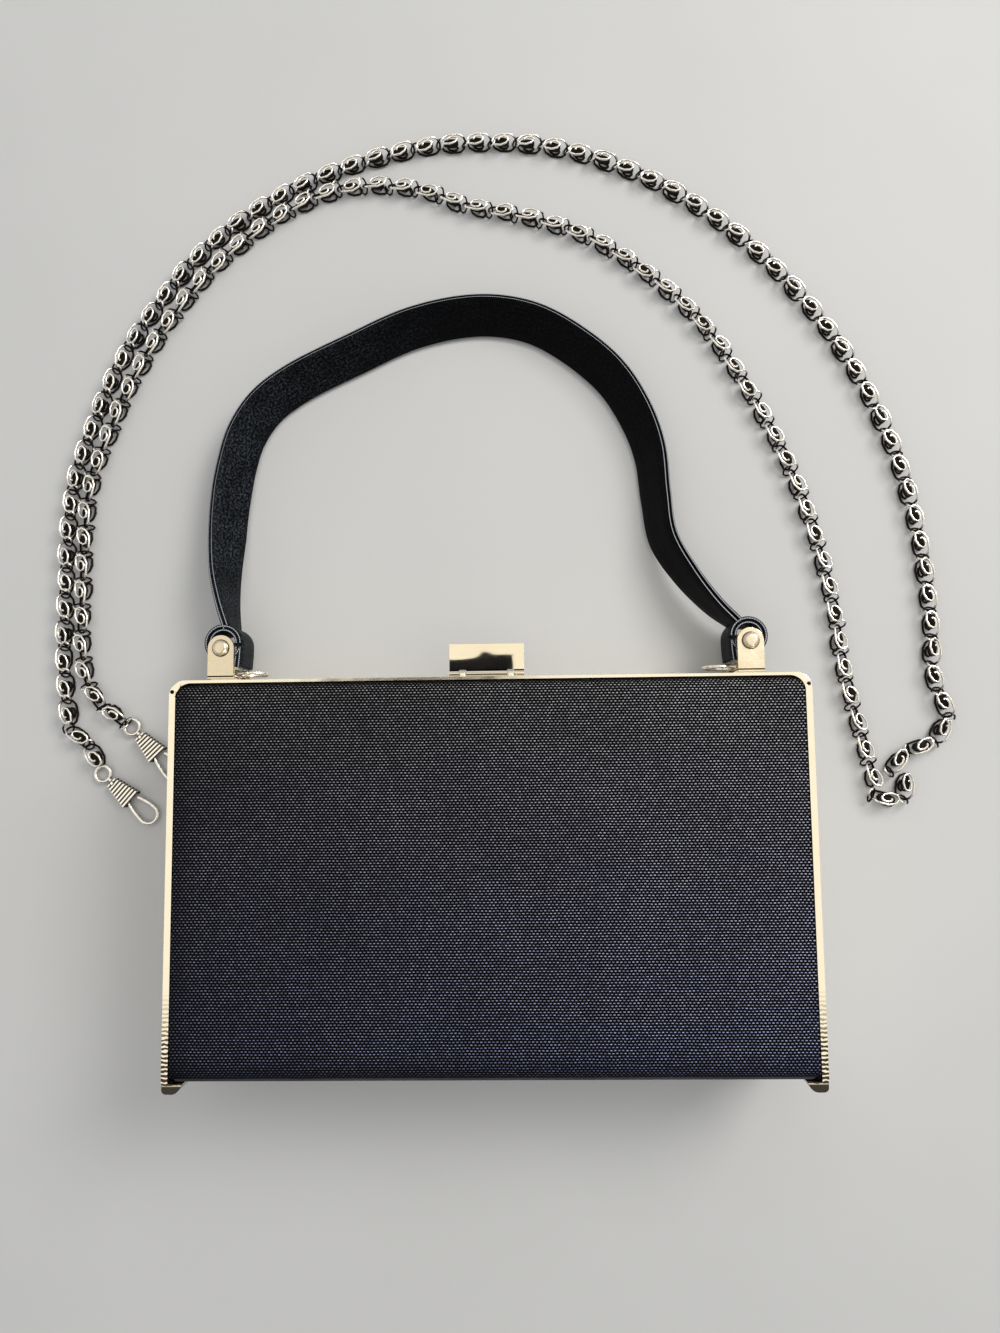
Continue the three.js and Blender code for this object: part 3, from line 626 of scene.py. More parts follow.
# Only the tops of the chain's wires are bright: a painted highlight, with painted shade on their
# sides.
chain_silver = make_antique("antiqued_chain", 4.3, 5.1)
hook_silver = make_antique("antiqued_hook", 1.4, 2.4)
gate_silver = make_antique("antiqued_gate", 1.0, 3.0, RIB_PITCH)
ring_silver = make_antique("ring_silver", -6.0, 0.0)
print("antiqued finishes:", chain_silver.name, hook_silver.name, ring_silver.name)

# %% [markdown]
# ## The cloth covered trays
#
# Each half of the case is a board tray. Its outer face turns over into the top edge in a small
# roll and into the bottom edge in a larger one, while its corners are rounded in plan. Two blocks
# make that form: one gets the rolls by bevelling its long edges, the other gets the plan's corners,
# and a boolean keeps what both share. Then the edges that are still sharp are rounded a little,
# and the open face is inset by the board's thickness and pushed in.

# %% Shape one tray
ROLL_STEPS = 12
CORNER_STEPS = 8
NEAR = 0.1


def bevel_picked(offset, segments):
    bpy.ops.mesh.bevel(offset=offset * MM, segments=segments, affect="EDGES", profile=0.5)


def shape_tray(name):
    low = (-HALF_WIDTH, -HALF_HEIGHT, 0)
    high = (HALF_WIDTH, HALF_HEIGHT, TRAY_DEPTH)
    tray = add_block(name, low, high)
    for side, roll in ((1, TOP_ROLL), (-1, BOTTOM_ROLL)):
        pick(
            tray,
            "EDGE",
            lambda a, b: max(a.z, b.z) < NEAR
            and min(side * a.y, side * b.y) > HALF_HEIGHT - NEAR,
        )
        bevel_picked(roll, ROLL_STEPS)
        close_edit()
    plan = add_block("plan", low, high)
    for side, corner in ((1, TOP_CORNER), (-1, BOTTOM_CORNER)):
        pick(
            plan,
            "EDGE",
            lambda a, b: abs(a.z - b.z) > 1 and side * a.y > HALF_HEIGHT - NEAR,
        )
        bevel_picked(corner, CORNER_STEPS)
        close_edit()
    modify(tray, "BOOLEAN", operation="INTERSECT", solver="EXACT", object=plan)
    bpy.data.objects.remove(plan)
    return tray


# %% Round the cloth's edges and hollow the tray
CLOTH_EDGE = 0.7


def hollow_tray(tray):
    modify(
        tray,
        "BEVEL",
        width=CLOTH_EDGE * MM,
        segments=3,
        limit_method="ANGLE",
        angle_limit=math.radians(50),
    )
    pick(tray, "FACE", lambda centre, normal: normal.z > 0.9 and centre.z > TRAY_DEPTH - NEAR)
    bpy.ops.mesh.inset(thickness=BOARD * MM)
    bpy.ops.mesh.extrude_region_move(
        TRANSFORM_OT_translate={"value": (0, 0, (BOARD - TRAY_DEPTH) * MM)}
    )
    close_edit()
    return smooth(tray, 40)


# %% Lay the cloth's UV map out in real size
def unrolled(y, z):
    """How far along the cloth a point lies, from the middle of the panel over its rolled edge."""
    side, roll = (1, TOP_ROLL) if y > 0 else (-1, BOTTOM_ROLL)
    start = HALF_HEIGHT - roll
    past = abs(y) - start
    if past <= 0:
        return y
    if z < roll:
        return side * (start + roll * math.atan2(past, roll - z))
    return side * (start + roll * math.pi / 2 + z - roll)


def lay_cloth(tray):
    while tray.data.uv_layers:
        tray.data.uv_layers.remove(tray.data.uv_layers[0])
    layer = tray.data.uv_layers.new(name="cloth")
    for loop in tray.data.loops:
        point = tray.data.vertices[loop.vertex_index].co / MM
        layer.data[loop.index].uv = (point.x * MM, unrolled(point.y, point.z) * MM)


# %% Give the inside its lining
def line_tray(tray, seam_depth):
    """Faces further in than most of the board's thickness are the inside."""
    reach = 0.75 * BOARD
    tray.data.materials.append(cloth)
    tray.data.materials.append(lining)
    for face in tray.data.polygons:
        centre = face.center / MM
        inside = (
            abs(centre.x) <= HALF_WIDTH - reach
            and abs(centre.y) <= HALF_HEIGHT - reach
            and abs(centre.z - seam_depth) <= TRAY_DEPTH - reach
        )
        if inside:
            face.material_index = 1


back_tray = hollow_tray(shape_tray("back_case"))
lay_cloth(back_tray)
line_tray(back_tray, TRAY_DEPTH)

# %% [markdown]
# The front tray is the same shape, mirrored about the seam between the halves. Mirroring turns the
# faces inside out, so their normals are flipped back.

# %% Mirror the tray for the front
front_tray = bpy.data.objects.new("front_case", back_tray.data.copy())
bpy.context.scene.collection.objects.link(front_tray)
only(front_tray)
bpy.ops.object.mode_set(mode="EDIT")
bpy.ops.mesh.select_all(action="SELECT")
bpy.ops.transform.resize(value=(1, 1, -1), center_override=(0, 0, CASE_DEPTH / 2 * MM))
bpy.ops.mesh.flip_normals()
close_edit()
dress(back_tray, None, "back", ["back_tray"])
dress(front_tray, None, "front", ["front_tray"])

# %% [markdown]
# ## The metal frames and the clasp
#
# The frames are bent strips, and their shape in the model is right. What a real strip has besides
# is a rounded edge, which shows as a thin bright line. So each is copied, its triangles are merged
# into quads, and a narrow bevel softens the sharp edges.

# %% Frames, clasp and brackets with softened edges
FRAME_EDGE = 0.22
PLATE_EDGE = 0.18
THIN_EDGE = 0.12

for node, body, width, finish in (
    ("back_frame", "back", FRAME_EDGE, frame_metal),
    ("front_frame", "front", FRAME_EDGE, frame_metal),
    ("clasp_base", "front", THIN_EDGE, polished),
    ("clasp_lever", "lever", PLATE_EDGE, clasp_metal),
    ("clasp_strike", "back", THIN_EDGE, polished),
    ("handle_bracket_left", "back", PLATE_EDGE, ear_metal),
    ("handle_bracket_right", "back", PLATE_EDGE, ear_metal),
):
    piece = soften(copy_node(node, node + "_finished"), width)
    dress(piece, finish, body, [node])

# %% [markdown]
# ## Rivets and rings
#
# A rivet is a round shank with a domed head on each side. A short cylinder whose outer rim gets a
# wide round bevel makes the dome. The rings are plain wire, which is a torus.

# %% Rivets
RIVET_X = {"left": -92.2, "right": 87.8}
RIVET_Y = 75.0
RIVET_RADIUS = 1.6
HEAD_RADIUS = 2.7
HEAD_HEIGHT = 1.3
FRONT_HEAD_START = 24.7
BACK_HEAD_START = 3.3
DOME_SHARE = 0.92


def make_head(x, start, out):
    middle = (x, RIVET_Y, start + out * HEAD_HEIGHT / 2)
    head = add_bar("head", HEAD_RADIUS, HEAD_HEIGHT, middle)
    tip = start + out * HEAD_HEIGHT
    pick(head, "EDGE", lambda a, b: abs(a.z - tip) < 0.01 and abs(b.z - tip) < 0.01)
    bevel_picked(HEAD_HEIGHT * DOME_SHARE, CORNER_STEPS)
    close_edit()
    return head


for name, x in RIVET_X.items():
    heads = [make_head(x, FRONT_HEAD_START, 1), make_head(x, BACK_HEAD_START, -1)]
    shank_length = FRONT_HEAD_START - BACK_HEAD_START + HEAD_HEIGHT
    shank_middle = (x, RIVET_Y, (FRONT_HEAD_START + BACK_HEAD_START) / 2)
    shank = add_bar("shank", RIVET_RADIUS, shank_length, shank_middle)
    rivet = smooth(join([*heads, shank], "rivet_" + name), 40)
    dress(rivet, ear_metal, "back", ["handle_rivet_" + name])

# %% Rings
for name in ("left", "right"):
    node = "chain_ring_" + name
    low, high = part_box(node)
    wire = (high.y - low.y) / 2
    bpy.ops.object.select_all(action="DESELECT")
    bpy.ops.mesh.primitive_torus_add(
        location=(low + high) / 2,
        rotation=(math.radians(90), 0, 0),
        major_segments=64,
        minor_segments=16,
        major_radius=(high.x - low.x) / 2 - wire,
        minor_radius=wire,
    )
    ring = bpy.context.object
    ring.name = "ring_" + name
    smooth(settle(ring), 60)
    dress(ring, ring_silver, "back", [node])

# %% [markdown]
# ## A smooth line through given points
#
# The strap and the chain both follow a list of points. The line between them is the same one that
# the model uses: it passes through every point and never overshoots where points lie close.


# %% Line through points
SHORTEST_STEP = 1e-4


def smooth_line(points, share):
    """The point at a share of the way, with equal shares from point to point."""
    last = len(points) - 1
    at = min(int(share * last), last - 1)
    weight = share * last - at
    before = points[at - 1] if at > 0 else points[0] * 2 - points[1]
    after = points[at + 2] if at + 2 <= last else points[last] * 2 - points[last - 1]
    row = (before, points[at], points[at + 1], after)
    ways = [row[i + 1] - row[i] for i in range(3)]
    steps = [way.length_squared**0.25 for way in ways]
    middle = steps[1] if steps[1] > SHORTEST_STEP else 1.0
    first = steps[0] if steps[0] > SHORTEST_STEP else middle
    third = steps[2] if steps[2] > SHORTEST_STEP else middle
    skip_leave = (row[2] - row[0]) / (first + middle)
    skip_arrive = (row[3] - row[1]) / (middle + third)
    leave = (ways[0] / first - skip_leave + ways[1] / middle) * middle
    arrive = (ways[1] / middle - skip_arrive + ways[2] / third) * middle
    bend = -3 * row[1] + 3 * row[2] - 2 * leave - arrive
    twist = 2 * row[1] - 2 * row[2] + leave + arrive
    return row[1] + leave * weight + bend * weight**2 + twist * weight**3


# %% [markdown]
# ## The strap handle
#
# The strap stands on edge where it leaves the brackets and leans outwards where it lies. It is
# laid as a flat grid, one row of faces for each step along it and one column for each point round
# its section, and every corner of the grid is then put in its place. So the UV map comes for
# free: its two directions are the way along the strap and the way round it.

# %% Route of the strap
STRAP_HALF = 8.0
STRAP_THICK = 2.5
STRAP_LEAN = math.radians(38)
EYE_X = 90.0
FITTINGS_SHIFT = -2.2
EYE_Y = 77.1
EYE_Z = 14.0
HANDLE_RISE = 122.0
FLOOR_GAP = 0.1
# x as a share of the brackets' distance from the middle, rise, lean, and the way down
STRAP_ROUTE = [
    (-1.015, 0.042, 0.0, 0.0), (-1.038, 0.12, 0.25, 0.15), (-1.056, 0.22, 0.6, 0.45),
    (-1.06, 0.334, 0.9, 0.85), (-1.053, 0.44, 1.0, 1.0), (-1.028, 0.553, 1.0, 1.0),
    (-0.99, 0.645, 1.0, 1.0), (-0.913, 0.731, 1.0, 1.0), (-0.796, 0.798, 1.0, 1.0),
    (-0.541, 0.892, 1.0, 1.0), (-0.322, 0.964, 1.0, 1.0), (-0.117, 0.998, 1.0, 1.0),
    (0.038, 0.999, 1.0, 1.0), (0.187, 0.972, 1.0, 1.0), (0.33, 0.911, 1.0, 1.0),
    (0.491, 0.805, 1.0, 1.0), (0.589, 0.687, 0.95, 1.0), (0.643, 0.571, 0.85, 1.0),
    (0.662, 0.43, 0.75, 0.95), (0.685, 0.302, 0.65, 0.75), (0.766, 0.189, 0.45, 0.4),
    (0.866, 0.095, 0.2, 0.15), (0.944, 0.042, 0.0, 0.0),
]
LYING_HEIGHT = STRAP_HALF * math.cos(STRAP_LEAN) + FLOOR_GAP
LYING_HEIGHT += STRAP_THICK / 2 * math.sin(STRAP_LEAN)
strap_centres = [
    Vector((x * EYE_X, EYE_Y + rise * HANDLE_RISE, EYE_Z + (LYING_HEIGHT - EYE_Z) * down))
    for x, rise, lean, down in STRAP_ROUTE
]
strap_leans = [Vector((lean, 0, 0)) for x, rise, lean, down in STRAP_ROUTE]
print("strap lies at a height of", round(LYING_HEIGHT, 2), "mm")


# %% Section of the strap: two plies with a groove at each edge
# in from the edge in millimetres, and the height as a share of half the thickness
OUTER_RIM = [(0.95, 0.0), (0.3, 0.1), (0.0, 0.32), (0.0, 0.72), (0.4, 1.0)]
INNER_RIM = [(0.5, -0.12), (0.2, -0.4), (0.2, -0.75), (0.65, -1.0)]


def strap_section(half, thick):
    """(across, through) of each point round the section, outer ply first."""

    def ply(rim):
        right = [(half - inset, share * thick / 2) for inset, share in rim]
        edge, height = right[-1]
        face = [(share * edge, height) for share in (0.5, 0.0, -0.5)]
        return right + face + [(-a, b) for a, b in reversed(right)]

    inner = [(-a, b) for a, b in ply(INNER_RIM)]
    return ply(OUTER_RIM) + inner


SECTION = strap_section(STRAP_HALF, STRAP_THICK)
around = [0.0]
for here, there in zip(SECTION, SECTION[1:] + SECTION[:1]):
    around.append(around[-1] + math.dist(here, there))
print("round the strap's section:", round(around[-1], 1), "mm")


# %% Lay a flat grid along a route as a closed strap
def lay_strap(name, stations, closed=False):
    """stations holds (centre, across, through) at each step along the strap."""
    rows, columns = len(stations) - 1 + closed, len(SECTION)
    bpy.ops.object.select_all(action="DESELECT")
    bpy.ops.mesh.primitive_grid_add(x_subdivisions=rows, y_subdivisions=columns, size=1)
    strap = bpy.context.object
    strap.name = name
    lengths = [0.0]
    for i in range(rows):
        step = stations[(i + 1) % len(stations)][0] - stations[i][0]
        lengths.append(lengths[-1] + step.length)
    cells = {}
    for vertex in strap.data.vertices:
        i = round((vertex.co.x + 0.5) * rows)
        j = round((vertex.co.y + 0.5) * columns)
        cells[vertex.index] = (i, j)
        centre, across, through = stations[i % len(stations)]
        a, b = SECTION[j % columns]
        vertex.co = (centre + across * a + through * b) * MM
    layer = strap.data.uv_layers[0]
    layer.name = "strap"
    for loop in strap.data.loops:
        i, j = cells[loop.vertex_index]
        layer.data[loop.index].uv = (lengths[i] * MM, around[j] * MM)
    only(strap)
    bpy.ops.object.mode_set(mode="EDIT")
    bpy.ops.mesh.select_all(action="SELECT")
    bpy.ops.mesh.remove_doubles(threshold=0.001 * MM)
    if not closed:
        bpy.ops.mesh.select_all(action="DESELECT")
        bpy.ops.mesh.select_mode(type="EDGE")
        bpy.ops.mesh.select_non_manifold()
        bpy.ops.mesh.fill()
    bpy.ops.mesh.select_all(action="SELECT")
    bpy.ops.mesh.normals_make_consistent(inside=False)
    close_edit()
    return smooth(strap, 50)


# %% Stations along the handle
STRAP_STEPS = 220
GLANCE = 0.0005


def strap_station(share):
    centre = smooth_line(strap_centres, share)
    ahead = smooth_line(strap_centres, min(share + GLANCE, 1.0))
    behind = smooth_line(strap_centres, max(share - GLANCE, 0.0))
    along = ahead - behind
    outward = Vector((-along.y, along.x, 0)).normalized()
    lean = smooth_line(strap_leans, share).x * STRAP_LEAN
    up = Vector((0, 0, 1))
    across = up * math.cos(lean) + outward * math.sin(lean)
    through = outward * math.cos(lean) - up * math.sin(lean)
    return centre, across, through


handle = lay_strap("handle_band", [strap_station(i / STRAP_STEPS) for i in range(STRAP_STEPS + 1)])

# %% [markdown]
# At each bracket the strap goes round the rivet in an eye, and its cut end hangs down on the
# inboard side. The eye is the same section laid round a circle, and the tail is a short straight
# piece of it.

# %% Eyes and tails
EYE_MIDDLE = 5.25
EYE_STEPS = 48
TAIL_LENGTH = 8.0
TAIL_STEPS = 10
TAIL_SWAY = 0.5


def eye_station(side, angle):
    outward = Vector((math.cos(angle), math.sin(angle), 0))
    centre = Vector((side * EYE_X + FITTINGS_SHIFT, EYE_Y, EYE_Z)) + outward * EYE_MIDDLE
    return centre, Vector((0, 0, 1)), outward


def tail_station(side, share):
    sway = TAIL_SWAY * share**2
    x = side * (EYE_X - EYE_MIDDLE + sway) + FITTINGS_SHIFT
    centre = Vector((x, EYE_Y - share * TAIL_LENGTH, EYE_Z))
    return centre, Vector((0, 0, 1)), Vector((-side, 0, 0))


strap_parts = [handle]
for side in (-1, 1):
    eye = [eye_station(side, math.tau * i / EYE_STEPS) for i in range(EYE_STEPS)]
    strap_parts.append(lay_strap("eye", eye, closed=True))
    tail = [tail_station(side, i / TAIL_STEPS) for i in range(TAIL_STEPS + 1)]
    strap_parts.append(lay_strap("tail", tail))

# %% [markdown]
# The cut ends fray: a few short warp threads stand out of them. One thread is a thin tapered cone,
# and each one along the cut gets a length and a lean of its own.

# %% Frayed threads at the cut ends
THREAD_LENGTH = 2.6
THREAD_ROOT = 0.16
THREAD_TIP = 0.07
THREADS = 15


def make_thread(side, number):
    share = number / (THREADS - 1)
    z = EYE_Z + (share * 2 - 1) * (STRAP_HALF - 0.8)
    sway = math.sin(number * 2.4) * 0.35
    root_x = side * (EYE_X - EYE_MIDDLE + TAIL_SWAY) + FITTINGS_SHIFT
    root = Vector((root_x, EYE_Y - TAIL_LENGTH + 0.2, z))
    way = Vector((-side * (0.35 + sway * 0.5), -1.0, sway * 0.6)).normalized()
    length = THREAD_LENGTH * (0.75 + 0.25 * math.cos(number * 1.7))
    turn = Vector((0, 0, 1)).rotation_difference(way).to_euler()
    bpy.ops.object.select_all(action="DESELECT")
    bpy.ops.mesh.primitive_cone_add(
        vertices=6,
        radius1=THREAD_ROOT * MM,
        radius2=THREAD_TIP * MM,
        depth=length * MM,
        location=(root + way * length / 2) * MM,
        rotation=turn,
    )
    thread = settle(bpy.context.object)
    for loop in thread.data.uv_layers[0].data:
        loop.uv = (0, around[0])
    thread.data.uv_layers[0].name = "strap"
    return thread


threads = [make_thread(side, number) for side in (-1, 1) for number in range(THREADS)]
fray = smooth(join(threads, "strap_fray"), 60)

# %% Finish the strap
outer_crest = (around[2] + around[3]) / 2
inner_crest = around[-1] - outer_crest + 0.15
rims = [(outer_crest, 0.2, 0.8), (inner_crest, 0.2, 0.8), (around[10], 0.2, 0.6)]
satin = make_satin("strap_satin", rims)
strap = join(strap_parts, "strap_handle")
dress(strap, satin, "back", ["handle_strap"])
thread_satin = make_satin("loose_thread", [(0.0, 2.0, 0.8)])
dress(fray, thread_satin, "back")

# %% [markdown]
# ## The scroll chain
#
# The chain is made of bent wire links. Each link is one wire: it starts in the middle of a scroll
# on top, winds outwards, turns down round the joint and winds back in underneath. A dark oval core
# fills the space between the two scrolls. It is a dark slab that stands for the shade in the gaps.
# A slanted loop holds each link to the next. One link is modelled and copied along the route. Each
# copy has its own mesh and lies a little turned, as links on a floor do.

# %% Make a wire mesh from a line of points
LINK_PITCH = 9.8
LINK_WIRE = 0.4
CHAIN_HEIGHT = 3.0
SHADE_CORE_LONG, SHADE_CORE_WIDE, SHADE_CORE_HEIGHT = 2.8, 1.5, 1.4
SCROLL_LONG, SCROLL_WIDE = 3.7, 2.15
SCROLL_LEAN = math.radians(14)
SCROLL_BACK = 0.7
SCROLL_TOP = 2.3
LOOP_MIDDLE, LOOP_LONG, LOOP_WIDE = 4.9, 1.4, 2.4
LOOP_STEPS = 10


def make_wire(name, points, radius, closed=False, roundness=1):
    curve = bpy.data.curves.new(name, "CURVE")
    curve.dimensions = "3D"
    curve.bevel_depth = radius * MM
    curve.bevel_resolution = roundness
    curve.use_fill_caps = True
    spline = curve.splines.new("POLY")
    spline.points.add(len(points) - 1)
    for target, point in zip(spline.points, points):
        target.co = (*(Vector(point) * MM), 1)
    spline.use_cyclic_u = closed
    wire = bpy.data.objects.new(name, curve)
    bpy.context.scene.collection.objects.link(wire)
    only(wire)
    bpy.ops.object.convert(target="MESH")
    return bpy.context.object


# %% Model one link
def link_wire():
    """The scroll's line: in on top, round the joint, and in again below."""
    lean = Matrix.Rotation(SCROLL_LEAN, 2)
    top = []
    for i in range(13):
        angle = math.radians(190 - i * 42)
        reach = 0.26 + 0.74 * min(i / 8, 1)
        long, wide = SCROLL_LONG * reach, SCROLL_WIDE * reach
        x, y = lean @ Vector((long * math.cos(angle), wide * math.sin(angle)))
        top.append((x - SCROLL_BACK, y, SCROLL_TOP))
    over = [(2.9, 2.0, 2.1), (4.2, 1.4, 1.2), (4.75, 0.5, 0.4)]
    over += [(x, -y, -z) for x, y, z in reversed(over)]
    below = [(x, -y, -z) for x, y, z in reversed(top)]
    return top + over + below


def link_loop():
    """The slanted loop, from the top of this link to the bottom of the next."""
    angles = [math.tau * i / LOOP_STEPS for i in range(LOOP_STEPS)]
    return [
        (
            LOOP_MIDDLE + LOOP_LONG * math.cos(angle),
            LOOP_WIDE * math.sin(angle),
            SCROLL_TOP * math.cos(angle + 0.7),
        )
        for angle in angles
    ]


scroll = make_wire("scroll", link_wire(), LINK_WIRE)
loop = make_wire("loop", link_loop(), LINK_WIRE * 0.85, closed=True)
# A dark oval slab under the scrolls stands for the shade in the gaps between the wires.
shade_core = add_bar("shade_core", 1.0, SHADE_CORE_HEIGHT, (0, 0, 0), sides=12)
shade_core.data.transform(Matrix.Diagonal((SHADE_CORE_LONG, SHADE_CORE_WIDE, 1, 1)))
shade_core.data.transform(Matrix.Translation((-SCROLL_BACK * MM, 0, 0)))
link = smooth(join([scroll, loop, shade_core], "link"), 75)
print("one link has", len(link.data.polygons), "faces")

# %% Routes of the two strands
OUTER_STRAND = [
    (-141.6, 34.6), (-146.5, 43), (-152.5, 49), (-154.8, 60), (-156.5, 74), (-156.5, 89),
    (-156.5, 107), (-156.5, 122), (-154.5, 140), (-147.5, 164), (-138.5, 186), (-126.5, 206),
    (-110.5, 226.5), (-89.5, 244), (-65, 257), (-37.5, 266), (-8.5, 270), (26, 267),
    (59.5, 254.5), (92.5, 231.5), (122, 198), (142.5, 160), (153.5, 120.5), (157, 82),
    (157, 64), (160.5, 50), (156, 41.5), (147.5, 37.5), (142, 32.5), (145, 26), (141.5, 20.8),
    (136, 21.8), (134, 28), (132.6, 34),
]
INNER_STRAND = [
    (132.5, 34.4), (130.5, 43), (125, 69.5), (123, 87), (119, 109),
    (113, 130), (106, 149), (95, 171), (80, 195.5), (62, 214), (40, 230), (14, 240), (-8, 245),
    (-24, 251), (-42, 253.8), (-58, 252), (-74, 245.5), (-88, 236.5), (-104, 222.5),
    (-119.5, 203.5), (-131.5, 183.5), (-141, 162), (-148, 140.5), (-150, 122), (-150.2, 105),
    (-150, 88), (-149.5, 76), (-147, 65), (-142, 57.8), (-132.9, 50.9),
]
FINE_STEPS = 3000
HEADING_STEPS = 25


def even_points(route, pitch):
    """Places about a pitch apart along a route, each with its heading, and the route's length."""
    corners = [Vector((x, y, 0)) for x, y in route]
    fine = [smooth_line(corners, i / FINE_STEPS) for i in range(FINE_STEPS + 1)]
    lengths = [0.0]
    for here, there in zip(fine, fine[1:]):
        lengths.append(lengths[-1] + (there - here).length)
    count = round(lengths[-1] / pitch)
    found, at = [], 0
    for number in range(count):
        wanted = (number + 0.5) * lengths[-1] / count
        while lengths[at] < wanted:
            at += 1
        ahead = fine[min(at + HEADING_STEPS, FINE_STEPS)] - fine[max(at - HEADING_STEPS, 0)]
        found.append((fine[at], math.atan2(ahead.y, ahead.x)))
    return found, lengths[-1]


# %% Copy the link along each strand
LINK_ROLL = 0.16
LINK_SWING = 0.07


def string_links(name, route):
    places, length = even_points(route, LINK_PITCH)
    copies = []
    for number, (place, heading) in enumerate(places):
        copy = bpy.data.objects.new("copy", link.data.copy())
        bpy.context.scene.collection.objects.link(copy)
        roll = LINK_ROLL * math.sin(number * 2.1)
        swing = LINK_SWING * math.sin(number * 1.3)
        turn = Euler((roll, 0, heading + swing), "XYZ").to_matrix()
        lift = Vector((place.x, place.y, CHAIN_HEIGHT)) * MM
        copy.data.transform(Matrix.Translation(lift) @ turn.to_4x4())
        copies.append(copy)
    strand = join(copies, name)
    print(name, "has", len(places), "links over", round(length), "mm")
    return strand


outer = string_links("outer_strand_links", OUTER_STRAND)
inner = string_links("inner_strand_links", INNER_STRAND)
bpy.data.objects.remove(link)
dress(outer, chain_silver, "back", ["chain_outer"])
dress(inner, chain_silver, "back", ["chain_inner"])

# %% [markdown]
# ## Snap hooks
#
# At each end of the chain a spring hook lies on the floor: a closed eye, a pear-shaped loop of
# wire and a ribbed thumb gate. The wire is drawn as a line of points and given its thickness, the
# eye is a torus, and the gate keeps its shape from the model with softened ribs.

# %% Hook wire
HOOK_WIRE = 0.65
GATE_START = 4.3
HOOK_EYE = 2.75
HOOK_HEIGHT = 1.9
HOOK_END, HOOK_END_RADIUS = 22.3, 3.3
HOOK_WAIST = 18
HOOK_SHANK = [(2.75, 0), (5.2, 0), (9.8, -0.95), (14.4, -1.9), (HOOK_WAIST, -2.8)]
HOOK_TIP = [(HOOK_WAIST, 2.8), (15.3, 2.05)]
HOOK_STEPS = 60
GATE_PIN = {"radius": 0.5, "length": 1.95, "middle": (5.2, 0, 0.975), "sides": 20}
GATE_EDGE = 0.1
HOOK_PLACES = {
    "lower": (-141.3, 32.6, math.radians(-41)),
    "upper": (-131.2, 49.4, math.radians(-46)),
}


def hook_line():
    bend = []
    for step in range(9):
        angle = -math.pi / 2 + step / 8 * math.pi
        across, up = HOOK_END_RADIUS * math.cos(angle), HOOK_END_RADIUS * math.sin(angle)
        bend.append((HOOK_END + across, up))
    points = [Vector((x, y, 0)) for x, y in HOOK_SHANK + bend + HOOK_TIP]
    return [smooth_line(points, i / HOOK_STEPS) for i in range(HOOK_STEPS + 1)]


def lay_gate(gate, back_to_hook):
    """A UV map in real size, counted along the hook from the gate's first groove."""
    while gate.data.uv_layers:
        gate.data.uv_layers.remove(gate.data.uv_layers[0])
    layer = gate.data.uv_layers.new(name="gate")
    for loop in gate.data.loops:
        point = back_to_hook @ gate.data.vertices[loop.vertex_index].co
        layer.data[loop.index].uv = (point.x - GATE_START * MM, point.y)


for name, (x, y, turn) in HOOK_PLACES.items():
    wire = make_wire("wire", hook_line(), HOOK_WIRE, roundness=3)
    bpy.ops.object.select_all(action="DESELECT")
    bpy.ops.mesh.primitive_torus_add(
        major_segments=40,
        minor_segments=12,
        major_radius=HOOK_EYE * MM,
        minor_radius=HOOK_WIRE * MM,
    )
    eye = bpy.context.object
    pin = add_bar("pin", **GATE_PIN)
    hook = join([wire, eye, pin], "hook_" + name)
    place = Matrix.Translation(Vector((x, y, HOOK_HEIGHT)) * MM) @ Matrix.Rotation(turn, 4, "Z")
    hook.data.transform(place)
    smooth(hook, 50)
    dress(hook, hook_silver, "back", ["snap_hook_" + name])
    gate = soften(copy_node("snap_gate_" + name, "gate_" + name), GATE_EDGE, angle=30)
    lay_gate(gate, place.inverted())
    dress(gate, gate_silver, "gate_" + name, ["snap_gate_" + name])

# %% [markdown]
# ## Pins that keep their own shape
#
# The hinge pins and the clasp's pin are small plain bars whose shape is right as it is, so they
# only get the metal.

# %% Metal on the pins
for node in ("hinge_pin_left", "hinge_pin_right", "clasp_pin"):
    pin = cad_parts[node]
    pin.data.materials.clear()
    pin.data.materials.append(polished)
    print(node, "keeps its shape")

# %% [markdown]
# ## Floor, light and reflections
#
# The bag lies on a plain pale floor. The light is soft and comes from the upper right, so the
# shadows fall to the lower left. Polished metal shows what stands around it, so a dark card and a
# beige card hang above the bag, and pale and dark walls stand round it. All of them are seen only
# in reflections.


# %% Floor
FLOOR_DARK = (0.53, 0.53, 0.515, 1)
FLOOR_PALE = (0.58, 0.58, 0.565, 1)
FLOOR_SIZE = 6


def make_floor():
    material, shader = start_material("pale_floor", Roughness=0.7)
    where = place_in_mm(material)
    tone = noise(material, where, 0.01, 4)
    colour = blend(material, tone, FLOOR_DARK, FLOOR_PALE)
    plug(material, colour, shader.inputs["Base Color"])
    emboss(material, shader, noise(material, where, 0.8, 3), 0.05, 0.3)
    return material


bpy.ops.object.select_all(action="DESELECT")
bpy.ops.mesh.primitive_plane_add(size=FLOOR_SIZE, location=(0, 0, 0))
floor = bpy.context.object
floor.name = "floor"
floor.data.materials.append(make_floor())
print("floor height:", floor.location.z)


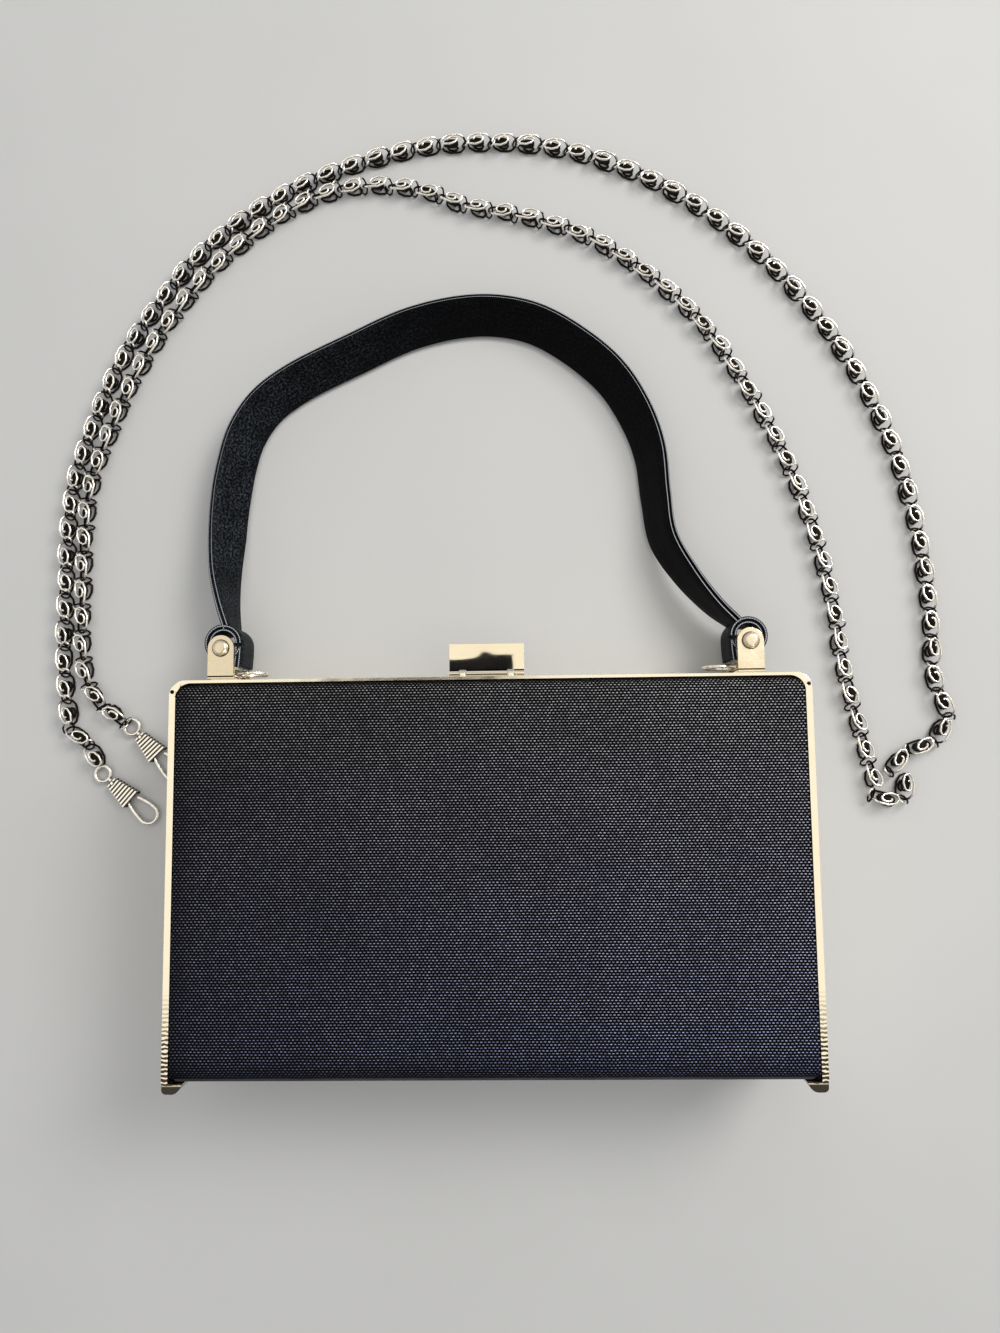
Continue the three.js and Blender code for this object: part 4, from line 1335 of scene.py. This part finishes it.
# %% Reflection cards
def hang_card(name, tone, middle, size, turn=(0, 0, 0)):
    bpy.ops.object.select_all(action="DESELECT")
    bpy.ops.mesh.primitive_plane_add(size=1, location=middle, rotation=turn)
    card = bpy.context.object
    card.name = name
    card.scale = (*size, 1)
    material, shader = start_material(name, Roughness=1.0)
    shader.inputs["Base Color"].default_value = (0, 0, 0, 1)
    shader.inputs["Emission Color"].default_value = (*tone, 1)
    shader.inputs["Emission Strength"].default_value = 1.0
    card.data.materials.append(material)
    card.visible_camera = False
    card.visible_shadow = False
    card.visible_diffuse = False
    return card


BEIGE = (1.15, 1.07, 0.9)
BLACK = (0.004, 0.004, 0.006)
PALE = (0.9, 0.88, 0.84)
DUSK = (0.02, 0.02, 0.025)
WALL = math.radians(90)

hang_card("beige_card", BEIGE, (0.0, 0.1, 1.4), (1.7, 1.7), (math.pi, 0, 0))
hang_card("dark_card", BLACK, (-0.098, -0.082, 0.75), (0.2, 0.46))
for name, x, y, turn in (
    ("right_wall", 1.7, 0, (0, -WALL, 0)),
    ("left_wall", -1.7, 0, (0, WALL, 0)),
    ("upper_wall", 0, 1.7, (WALL, 0, 0)),
):
    wide = (1.0, 3.4) if x else (3.4, 1.0)
    hang_card(name, PALE, (x, y, 0.7), wide, turn)
hang_card("dark_wall", DUSK, (0, -1.7, 0.7), (3.4, 1.2), (-WALL, 0, 0))
print("cards hung")


# %% Lights
def add_area_light(name, place, aim, size, power, tint):
    light = bpy.data.lights.new(name, "AREA")
    light.shape = "RECTANGLE"
    light.size, light.size_y = size
    light.energy = power
    light.color = tint
    lamp = bpy.data.objects.new(name, light)
    bpy.context.scene.collection.objects.link(lamp)
    lamp.location = place
    lamp.rotation_euler = (Vector(aim) - Vector(place)).to_track_quat("-Z", "Y").to_euler()
    return lamp


BAG_MIDDLE = (0, 0.08, 0)
SKY = (0.92, 0.94, 1.0, 1)
SKY_STRENGTH = 0.45

add_area_light("window", (0.75, 0.65, 0.95), BAG_MIDDLE, (0.6, 0.6), 11, (1.0, 0.98, 0.95))
add_area_light("ceiling", (-0.1, 0.0, 1.5), BAG_MIDDLE, (1.6, 1.6), 7, (1.0, 0.97, 0.93))
world = bpy.data.worlds.new("room")
bpy.context.scene.world = world
world.use_nodes = True
background = world.node_tree.nodes["Background"]
background.inputs["Color"].default_value = SKY
background.inputs["Strength"].default_value = SKY_STRENGTH
bpy.context.scene.view_settings.view_transform = "Standard"
